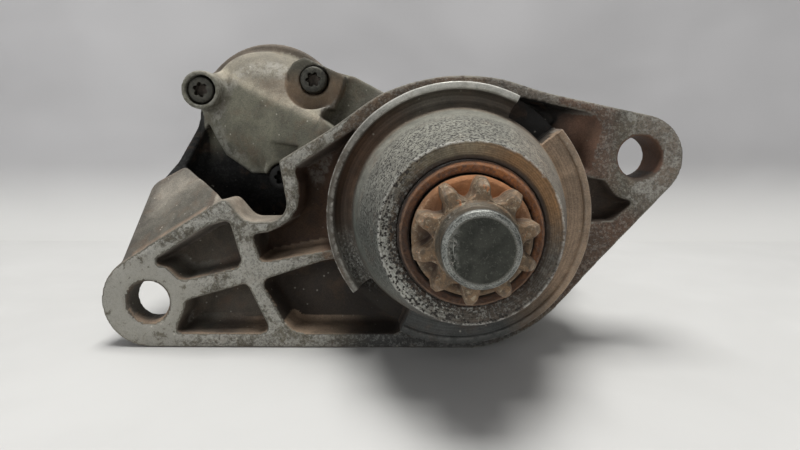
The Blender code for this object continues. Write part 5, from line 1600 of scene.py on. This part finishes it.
def build_screws():
    for i, (centre, (spin, material, grime_and_shade)) in enumerate(zip(SCREWS, SCREW_LOOKS), 1):
        x, z = centre
        screw = solid(f"torx_screw_{i}", screw_field(centre, spin),
                      (x - 4.8, 29.8, z - 4.8), (x + 4.8, 37.0, z + 4.8),
                      0.16)
        # darker deeper in the seat: dirt and painted shade
        write(screw, dirt=clip01((points_of(screw)[:, 1] - 30.6) / 1.2) * grime_and_shade)
        dress(screw, material, "housing", f"solenoid_screw_{i}")


# ------------------------------------------------------------------ motor
YOKE_R = 37.5
YOKE_CORNERS = [   # r, y, corner radius
    (34.5, 80.0, 0), (YOKE_R, 80.0, 0.5), (YOKE_R, 81.6, 0), (37.2, 82.0, 0.2),
    (YOKE_R, 82.4, 0), (YOKE_R, 134.0, 0.5), (34.5, 134.0, 0.3), (34.5, 80.0, 0)]


def crimped(radius, y, degrees, *, count, first, at, arc_radius, half_width, half_height,
            depth, skin):
    """Oval dents round a tube, in the surface that lies beyond the skin radius."""
    for k in range(count):
        aside = angle_gap(degrees, first + 360 / count * k) * arc_radius * math.pi / 180
        dent = clip01(1 - (aside / half_width) ** 2 - ((y - at) / half_height) ** 2)
        radius = radius - np.where(radius > skin, dent * depth, 0)
    return radius


def yoke_shape(turn, radius, y, index):
    """A rolled seam underneath, and crimps near both ends."""
    degrees = np.degrees(turn)
    aside = angle_gap(degrees, 262) * radius * math.pi / 180
    radius = radius - np.where(radius > 36, np.clip(0.6 - aside, 0, 0.35), 0)
    for at in (83.5, 130.5):
        radius = crimped(radius, y, degrees, count=8, first=22.5, at=at, arc_radius=YOKE_R,
                         half_width=2.4, half_height=1.1, depth=0.55, skin=36)
    return radius, y


def build_yoke():
    yoke = turned("motor_yoke", refine(bevelled(YOKE_CORNERS, 0.3), 0.9), steps=300,
                  closed=True, change=yoke_shape)
    y = points_of(yoke)[:, 1]
    spread(yoke, dirt=band(y, 80.2, 0.8) * 0.8 + band(y, 134, 0.8) * 0.8,
           wear=band(y, 81.0, 0.5) * 0.1)
    dress(yoke, PAINT, "housing", "yoke")


def rear_field(x, y, z):
    radius = np.hypot(x, z)
    body = smax(radius - 37.9, y - (156.6 - np.clip(radius - 12, 0, 30) * 0.03), 4.6)
    body = np.maximum(body, 134.35 - y)
    # central boss, the ring groove round it and four small bosses
    body = smin(body, smax(radius - 10.6, slab(y, 155.0, 6.0), 1.4), 2.4)
    body = smax(body, -smax(slab(radius, 24.5, 2.2), 155.2 - y, 0.8), 1.0)
    for k in range(4):
        turn = math.radians(45 + 90 * k)
        off = away(x, z, (30.0 * math.cos(turn), 30.0 * math.sin(turn)))
        body = smin(body, smax(off - 3.0, slab(y, 154.0, 3.6), 0.8), 0.6)
    # lugs of the through bolts
    for side in (-1, 1):
        lug = smax(away(x, z, (side * BOLT_X, 0.0)) - 6.1, slab(y, 151.5, 3.45), 0.8)
        web = smax(np.maximum(np.abs(z) - 5.9, slab(x, side * 39.0, 3.6)),
                   slab(y, 151.5, 3.3), 0.8)
        body = smin(body, smin(lug, web, 1.2), 2.0)
    body = smax(body, -smax(radius - 34.5, y - 151.6, 3.0), 0.3)
    for side in (-1, 1):
        body = np.maximum(body, 3.0 - away(x, z, (side * BOLT_X, 0.0)))
    # the rimmed hole where the lead enters
    along, across = turned_axes(x, z, LEAD_ANGLE)
    off = np.hypot(across, y - LEAD_Y)
    body = smin(body, smax(off - 5.2, slab(along, 37.4, 0.7), 0.6), 0.8)
    return smax(body, -np.maximum(off - 3.6, 28 - along), 0.3)


def build_rear_cover():
    rear = solid("rear_end_cover", rear_field, (-50, 134.0, -38.5), (50, 161.5, 38.5),
                 0.75)
    dress(rear, PAINT, "housing", "rear_cover")


def hexagon(radius, turn, half_width):
    sixth = math.pi / 3
    return radius * np.cos(turn % sixth - sixth / 2) - half_width


def bolt_field(side):
    """A chamfered hexagonal head on a washer."""
    def field(x, y, z):
        centre = (side * BOLT_X, 0.0)
        radius = away(x, z, centre)
        turn = np.arctan2(z, x - centre[0])
        head = smax(hexagon(radius, turn + math.pi / 6, 4.18),
                    np.maximum(156.1 - y, y - 160.2), 0.15)
        head = smax(head, (radius - 4.5 + (y - 159.6) * 1.6) * 0.5, 0.15)
        washer = smax(radius - 4.85, slab(y, 155.75, 0.4), 0.2)
        return smin(head, washer, 0.15)

    return field


def build_through_bolts():
    for i, side in enumerate((-1, 1), 1):
        x = side * BOLT_X
        head = solid(f"bolt_head_{i}", bolt_field(side), (x - 5.2, 155.3, -5.2),
                     (x + 5.2, 160.3, 5.2), 0.2)
        rod = thread(f"bolt_rod_{i}", (x, 0.0), radius=2.6, y_range=(67.0, 156.0), pitch=0.9,
                     depth=0.32, steps=20, per=5, plain=(82.0, 157.0))
        spread(rod, dirt=0.12)
        bolt = merge(f"long_bolt_{i}", [head, rod], sharp=45.0)
        dress(bolt, ZINC, "housing", f"through_bolt_{i}")


# ------------------------------------------------------------------ solenoid
CASE_CORNERS = [   # r, y, corner radius
    (11.6, 62.3, 0), (11.6, 54.3, 0.3), (26.0, 54.3, 1.1), (26.0, 57.2, 0),
    (25.7, 57.8, 0.2), (26.0, 58.4, 0), (26.0, 103.0, 0.8), (25.5, 104.0, 0.4),
    (24.0, 104.0, 0.2), (24.0, 62.3, 1.0), (11.6, 62.3, 0)]
FOOT_CORNERS = [(0, 111.4, 0), (6.4, 111.4, 0.3), (6.4, 114.4, 0.3), (0, 114.4, 0)]
STUD_HOLE_R = 4.3
NUT_Y = 128.4
NUT_TURNS = {"battery": 0.7, "motor": 0.3}
LUG_Y, LUG_HALF = 132.6, 0.78


def case_shape(turn, radius, y, index):
    radius = crimped(radius, y, np.degrees(turn), count=6, first=30, at=101.8, arc_radius=26,
                     half_width=3.4, half_height=1.2, depth=0.7, skin=25)
    return radius, y


def build_case():
    case = turned("solenoid_can", refine(bevelled(CASE_CORNERS, 0.3), 0.9), SOLENOID,
                  steps=240, closed=True, change=case_shape)
    y = points_of(case)[:, 1]
    spread(case, dirt=band(y, 54.6, 1.4) * 0.7 + band(y, 103.6, 0.9) * 0.6)
    dress(case, ZINC, "housing", "solenoid_case")


def cap_field(x, y, z):
    radius = away(x, z, SOLENOID)
    body = smax(radius - 25.3 + np.clip(y - 106, 0, 20) * 0.05,
                np.maximum(104.35 - y, y - 121.9), 3.6)
    skirt = np.maximum(slab(radius, 21.9, 1.25), slab(y, 103.4, 2.0))
    body = smin(body, skirt, 0.4)
    body = smin(body, smax(radius - 25.38, slab(y, 106.4, 1.5), 0.4), 0.5)
    for stud in STUDS.values():
        tower = smax(away(x, z, stud) - 7.3, slab(y, 120.5, 4.4), 0.6)
        body = smin(body, tower, 1.4)
    # a barrier between the two terminals
    along, aside = lever_frame(x - SOLENOID[0], z - SOLENOID[1])
    rib = smax(np.maximum(np.abs(aside * 0.94 + along * 0.35) - 0.9,
                          np.abs(along * 0.94 - aside * 0.35) - 13.0),
               slab(y, 120.0, 4.4), 0.5)
    body = smin(body, rib, 0.8)
    # the block that holds the control blade
    along, aside = lever_frame(x - BLADE[0], z - BLADE[1])
    block = smax(np.maximum(np.abs(aside) - 4.4, np.abs(along) - 2.3),
                 slab(y, 122.5, 4.4), 0.5)
    body = smin(body, block, 0.8)
    body = smax(body, -smax(radius - 20.6, y - 117.6, 2.0), 0.3)
    for stud in STUDS.values():
        body = np.maximum(body, STUD_HOLE_R - away(x, z, stud))
    slot = np.maximum(np.maximum(np.abs(aside) - 3.4, np.abs(along) - 0.7), 110 - y)
    return np.maximum(body, -slot)


def build_cap():
    x, z = SOLENOID
    cap = solid("terminal_cap", cap_field, (x - 26, 101.2, z - 26), (x + 26, 127.2, z + 26),
                0.6)
    dress(cap, PLASTIC, "housing", "solenoid_cap")


def nut_field(centre, spin):
    def field(x, y, z):
        radius = away(x, z, centre)
        turn = np.arctan2(z - centre[1], x - centre[0]) + spin
        from_middle = np.abs(y - NUT_Y)
        body = smax(hexagon(radius, turn, 6.45), from_middle - 3.0, 0.15)
        body = smax(body, (radius - 6.75 + (from_middle - 2.2) * 1.5) * 0.55, 0.15)
        hole = STUD_HOLE_R - radius - clip01(from_middle - 2.4) * 0.6
        return np.maximum(body, hole)

    return field


def build_terminals():
    for name, centre in STUDS.items():
        stud = thread(f"{name}_terminal_stud", centre, radius=3.9, y_range=(112.0, 141.0),
                      pitch=1.25, depth=0.55, steps=32, per=6, plain=(111.0, 122.0))
        foot = turned(f"{name}_foot", bevelled(FOOT_CORNERS, 0.3), centre, steps=40)
        spread(stud, dirt=0.1)
        spread(foot, dirt=0.1)
        stud = merge(f"{name}_terminal", [foot, stud], sharp=45.0)
        dress(stud, COPPER, "housing", f"{name}_stud")
        x, z = centre
        nut = solid(f"{name}_hex_nut", nut_field(centre, NUT_TURNS[name]),
                    (x - 7.6, 125.3, z - 7.6), (x + 7.6, 131.5, z + 7.6),
                    0.28)
        dress(nut, ZINC, "housing", f"{name}_nut")


def smooth_path(points):
    """A Catmull-Rom curve through the points, ten steps to a stretch."""
    dense = []
    last = len(points) - 1
    for i in range(last):
        before, start, end = points[max(i - 1, 0)], points[i], points[i + 1]
        after = points[min(i + 2, last)]
        for k in range(10):
            t = k / 10
            dense.append(0.5 * (
                (2 * start) + (end - before) * t
                + (2 * before - 5 * start + 4 * end - after) * t * t
                + (3 * start - before - 3 * end + after) * t ** 3))
    return dense + [points[-1]]


def braid(name, path, radius, steps, twist, strands):
    """A tube along points, with the relief of crossing strands."""
    dense = smooth_path(path)
    side = None
    rings, run = [], 0.0
    for i, point in enumerate(dense):
        way = (dense[min(i + 1, len(dense) - 1)] - dense[max(i - 1, 0)]).normalized()
        side = way.orthogonal() if side is None else side - way * side.dot(way)
        side = side.normalized()
        other = way.cross(side)
        if i:
            run += (point - dense[i - 1]).length
        ring = []
        for k in range(steps):
            turn = math.tau * k / steps
            one_way = abs(math.sin(turn * strands / 2 + run * twist))
            other_way = abs(math.sin(turn * strands / 2 - run * twist))
            skin = radius * (0.93 + 0.07 * one_way * other_way * 1.4)
            ring.append(point + side * (skin * math.cos(turn)) + other * (skin * math.sin(turn)))
        rings.append(ring)
    return capped_tube(name, rings, (dense[0], dense[-1]))


def lead_path():
    """From the motor stud's lug in a bow to the hole in the rear cover."""
    x, z = STUDS["motor"]
    turn = math.radians(LEAD_ANGLE)
    outward = Vector((math.cos(turn), 0, math.sin(turn)))
    entry = Vector((0, LEAD_Y, 0))
    start = Vector((x + 4.6, 133.6, z - 4.0))
    first = start + Vector((2.0, 4.5, -1.5))
    far = outward * 45.5 + entry
    bow = (first + far) / 2 + Vector((0, 6.0, 3.0))
    path = [start, first]
    for i in range(1, 6):
        t = i / 6
        path.append(first * (1 - t) ** 2 + bow * 2 * t * (1 - t) + far * t * t)
    return path + [far, outward * 39.5 + entry, outward * 31.0 + entry]


def lug_field(x, y, z):
    """A flat eye round the motor stud, with a tab for the lead."""
    stud_x, stud_z = STUDS["motor"]
    off_x, off_z = x - stud_x, z - stud_z
    radius = np.hypot(off_x, off_z)
    thickness = slab(y, LUG_Y, LUG_HALF)
    plate = smax(radius - 6.2, thickness, 0.25)
    tab = np.maximum(np.abs(off_x * 0.66 + off_z * 0.75) - 4.2,
                     slab(off_x * 0.75 - off_z * 0.66, 4.0, 4.6))
    tab = np.maximum(tab, thickness)
    return np.maximum(smin(plate, tab, 0.4), STUD_HOLE_R - radius)


def build_lead():
    lead = braid("lead_braid", lead_path(), radius=2.55, steps=40, twist=1.5, strands=12)
    x, z = STUDS["motor"]
    lug = solid("lead_lug", lug_field, (x - 6.2, 131.7, z - 6.2), (x + 8.6, 133.5, z + 6.2),
                0.3)
    spread(lead, dirt=0.15)
    wire = merge("motor_lead_braided", [lug, lead], sharp=50.0)
    dress(wire, COPPER, "housing", "motor_lead")


# ------------------------------------------------------------------ CAD pieces that stay
BY_SLOT = {
    "cast_aluminium": CASTING, "steel": STEEL, "rust": RUSTY, "rusty_steel": RUSTY,
    "dark_steel": SCREW, "zinc_plate": ZINC, "plastic": NYLON, "rubber": RUBBER,
    "black_paint": PAINT, "ferrite": FERRITE, "copper": COPPER, "bronze": BRONZE,
    "carbon": CARBON}


def finish_cad_pieces():
    slots = {part["node"]: part.get("material_slot") for part in frame["record"]["subparts"]}
    for node, obj in frame["nodes"].items():
        if obj.hide_render:
            continue
        obj.data.materials.clear()
        obj.data.materials.append(BY_SLOT.get(slots.get(node), STEEL))
        soft = obj.modifiers.new("soft_edges", "BEVEL")
        soft.width = 0.12 * MM
        soft.segments = 2
        soft.limit_method = "ANGLE"
        soft.angle_limit = math.radians(40)


# ------------------------------------------------------------------ stage, light, camera
FLOOR_Z = cad_box[0][2] - 0.0001


def backdrop_material():
    look = Look("backdrop")
    folds = look.noise(scale=0.0045, detail=3.0, rough=0.5, twist=0.3,
                       vector=look.mapped(scale=(1.0, 0.2, 0.55)))
    tone = look.mix(look.between(folds, start=0.3, end=0.7),
                    under=(0.425, 0.422, 0.432), over=(0.50, 0.497, 0.507))
    creases = look.noise(
        scale=0.0085, detail=2.0, rough=0.45, twist=0.25,
        vector=look.mapped(scale=(1.0, 0.3, 1.6), shift=(40.0, 0, 9.0)))
    tone = look.mottle(tone, creases, amount=0.07)
    # the sheet turns as pale as the floor where it meets it
    split = look.node("ShaderNodeSeparateXYZ")
    look.link(look.place, split.inputs[0])
    low = FLOOR_Z / MM
    tone = look.mix(look.between(split.outputs[2], start=low + 2.0, end=low + 62.0),
                    (0.575, 0.575, 0.565), tone)
    height = look.plus(folds, look.times(creases, 0.5))
    look.finish(tone, roughness=0.9, metallic=0.0, height=height, strength=0.3,
                distance=18.0)
    # from behind the sheet the camera sees through it
    clear = look.node("ShaderNodeBsdfTransparent")
    geometry = look.node("ShaderNodeNewGeometry")
    ray = look.node("ShaderNodeLightPath")
    both = look.times(geometry.outputs["Backfacing"], ray.outputs["Is Camera Ray"])
    mixer = look.node("ShaderNodeMixShader")
    look.link(both, mixer.inputs[0])
    look.link(look.surface.outputs[0], mixer.inputs[1])
    look.link(clear.outputs[0], mixer.inputs[2])
    look.link(mixer.outputs[0], look.out.inputs[0])
    return look.mat


def floor_material():
    look = Look("floor_sheet")
    soft = look.noise(scale=0.012, rough=0.55, twist=0.4)
    flecks = look.noise(scale=0.35, detail=6.0, rough=0.8, shift=4.0)
    flecks = look.between(flecks, start=0.72, end=0.78)
    colour = look.mix(look.between(soft, start=0.3, end=0.7),
                      under=(0.555, 0.555, 0.545), over=(0.595, 0.595, 0.585))
    colour = look.layer(colour, flecks, over=(0.45, 0.43, 0.42), share=0.25)
    return look.finish(colour, roughness=0.85, metallic=0.0, height=soft, strength=0.15,
                       distance=4.0)


def build_stage():
    """A sheet that curves up behind the motor, and the floor, in metres."""
    back, bend = MOUNT_Y * MM + 0.245, 0.05
    sheet_material = backdrop_material()
    xs = np.linspace(-2.2, 2.2, 12)
    profile = [(back - bend + bend * math.sin(turn),
                FLOOR_Z - 0.0012 + bend - bend * math.cos(turn))
               for turn in np.radians(np.linspace(0, 90, 14))] + [(back, FLOOR_Z + 1.6)]
    mesh = bpy.data.meshes.new("backdrop")
    mesh.from_pydata([(x, y, z) for y, z in profile for x in xs], [],
                     grid_faces(len(profile), len(xs), False, False).tolist())
    mesh.shade_smooth()
    sheet = bpy.data.objects.new("backdrop", mesh)
    mesh.materials.append(sheet_material)
    pale = floor_material()
    mesh = bpy.data.meshes.new("floor")
    mesh.from_pydata([(x, y, FLOOR_Z) for x, y in ((-3, -3), (3, -3), (3, 3), (-3, 3))], [],
                     [(0, 1, 2, 3)])
    floor = bpy.data.objects.new("floor", mesh)
    mesh.materials.append(pale)
    for obj in (sheet, floor):
        bpy.context.scene.collection.objects.link(obj)


def aim(obj, direction):
    obj.rotation_mode = "QUATERNION"
    obj.rotation_quaternion = direction.to_track_quat("-Z", "Y")
    bpy.context.scene.collection.objects.link(obj)


def area_light(name, where, target, size, power, colour):
    light = bpy.data.lights.new(name, "AREA")
    light.shape = "RECTANGLE"
    light.size, light.size_y = size
    light.energy = power
    light.color = colour
    obj = bpy.data.objects.new(name, light)
    obj.location = where
    aim(obj, Vector(target) - Vector(where))


def build_lights():
    world = bpy.data.worlds.new("room")
    bpy.context.scene.world = world
    world.use_nodes = True
    background = world.node_tree.nodes["Background"]
    background.inputs["Color"].default_value = (0.92, 0.92, 0.95, 1.0)
    background.inputs["Strength"].default_value = 0.16
    area_light("overhead", where=(-0.02, 0.03, 0.80), target=(0.0, 0.03, 0.0),
               size=(0.50, 0.36), power=8.0, colour=(1.0, 0.99, 0.965))
    area_light("front_left", where=(-0.62, -0.80, 0.20), target=(-0.02, 0.05, 0.02),
               size=(0.45, 0.35), power=2.5, colour=(0.98, 0.99, 1.0))
    area_light("front_right", where=(0.60, -0.85, 0.16), target=(0.02, 0.05, 0.02),
               size=(0.4, 0.3), power=1.2, colour=(1.0, 0.98, 0.95))


def build_camera():
    """In front of the nose, looking back and slightly down."""
    camera = bpy.data.objects.new("photo_view", bpy.data.cameras.new("photo_view"))
    camera.data.sensor_width = 36.0
    camera.data.lens = 27.72
    camera.data.clip_start = 0.005
    camera.location = (-0.01507, MOUNT_Y * MM - 0.18534, 0.02156)
    pitch, yaw = math.radians(7.81), math.radians(-0.56)
    aim(camera, Vector((math.sin(yaw) * math.cos(pitch), math.cos(yaw) * math.cos(pitch),
                        -math.sin(pitch))))
    bpy.context.scene.camera = camera
    bpy.context.scene.view_settings.view_transform = "Standard"


# ------------------------------------------------------------------ everything in order
for build in (build_housing, build_nose, build_seal, build_bearing, build_pinion,
              build_screws, build_yoke, build_rear_cover, build_through_bolts, build_case,
              build_cap, build_terminals, build_lead, finish_cad_pieces, build_stage,
              build_lights, build_camera):
    build()
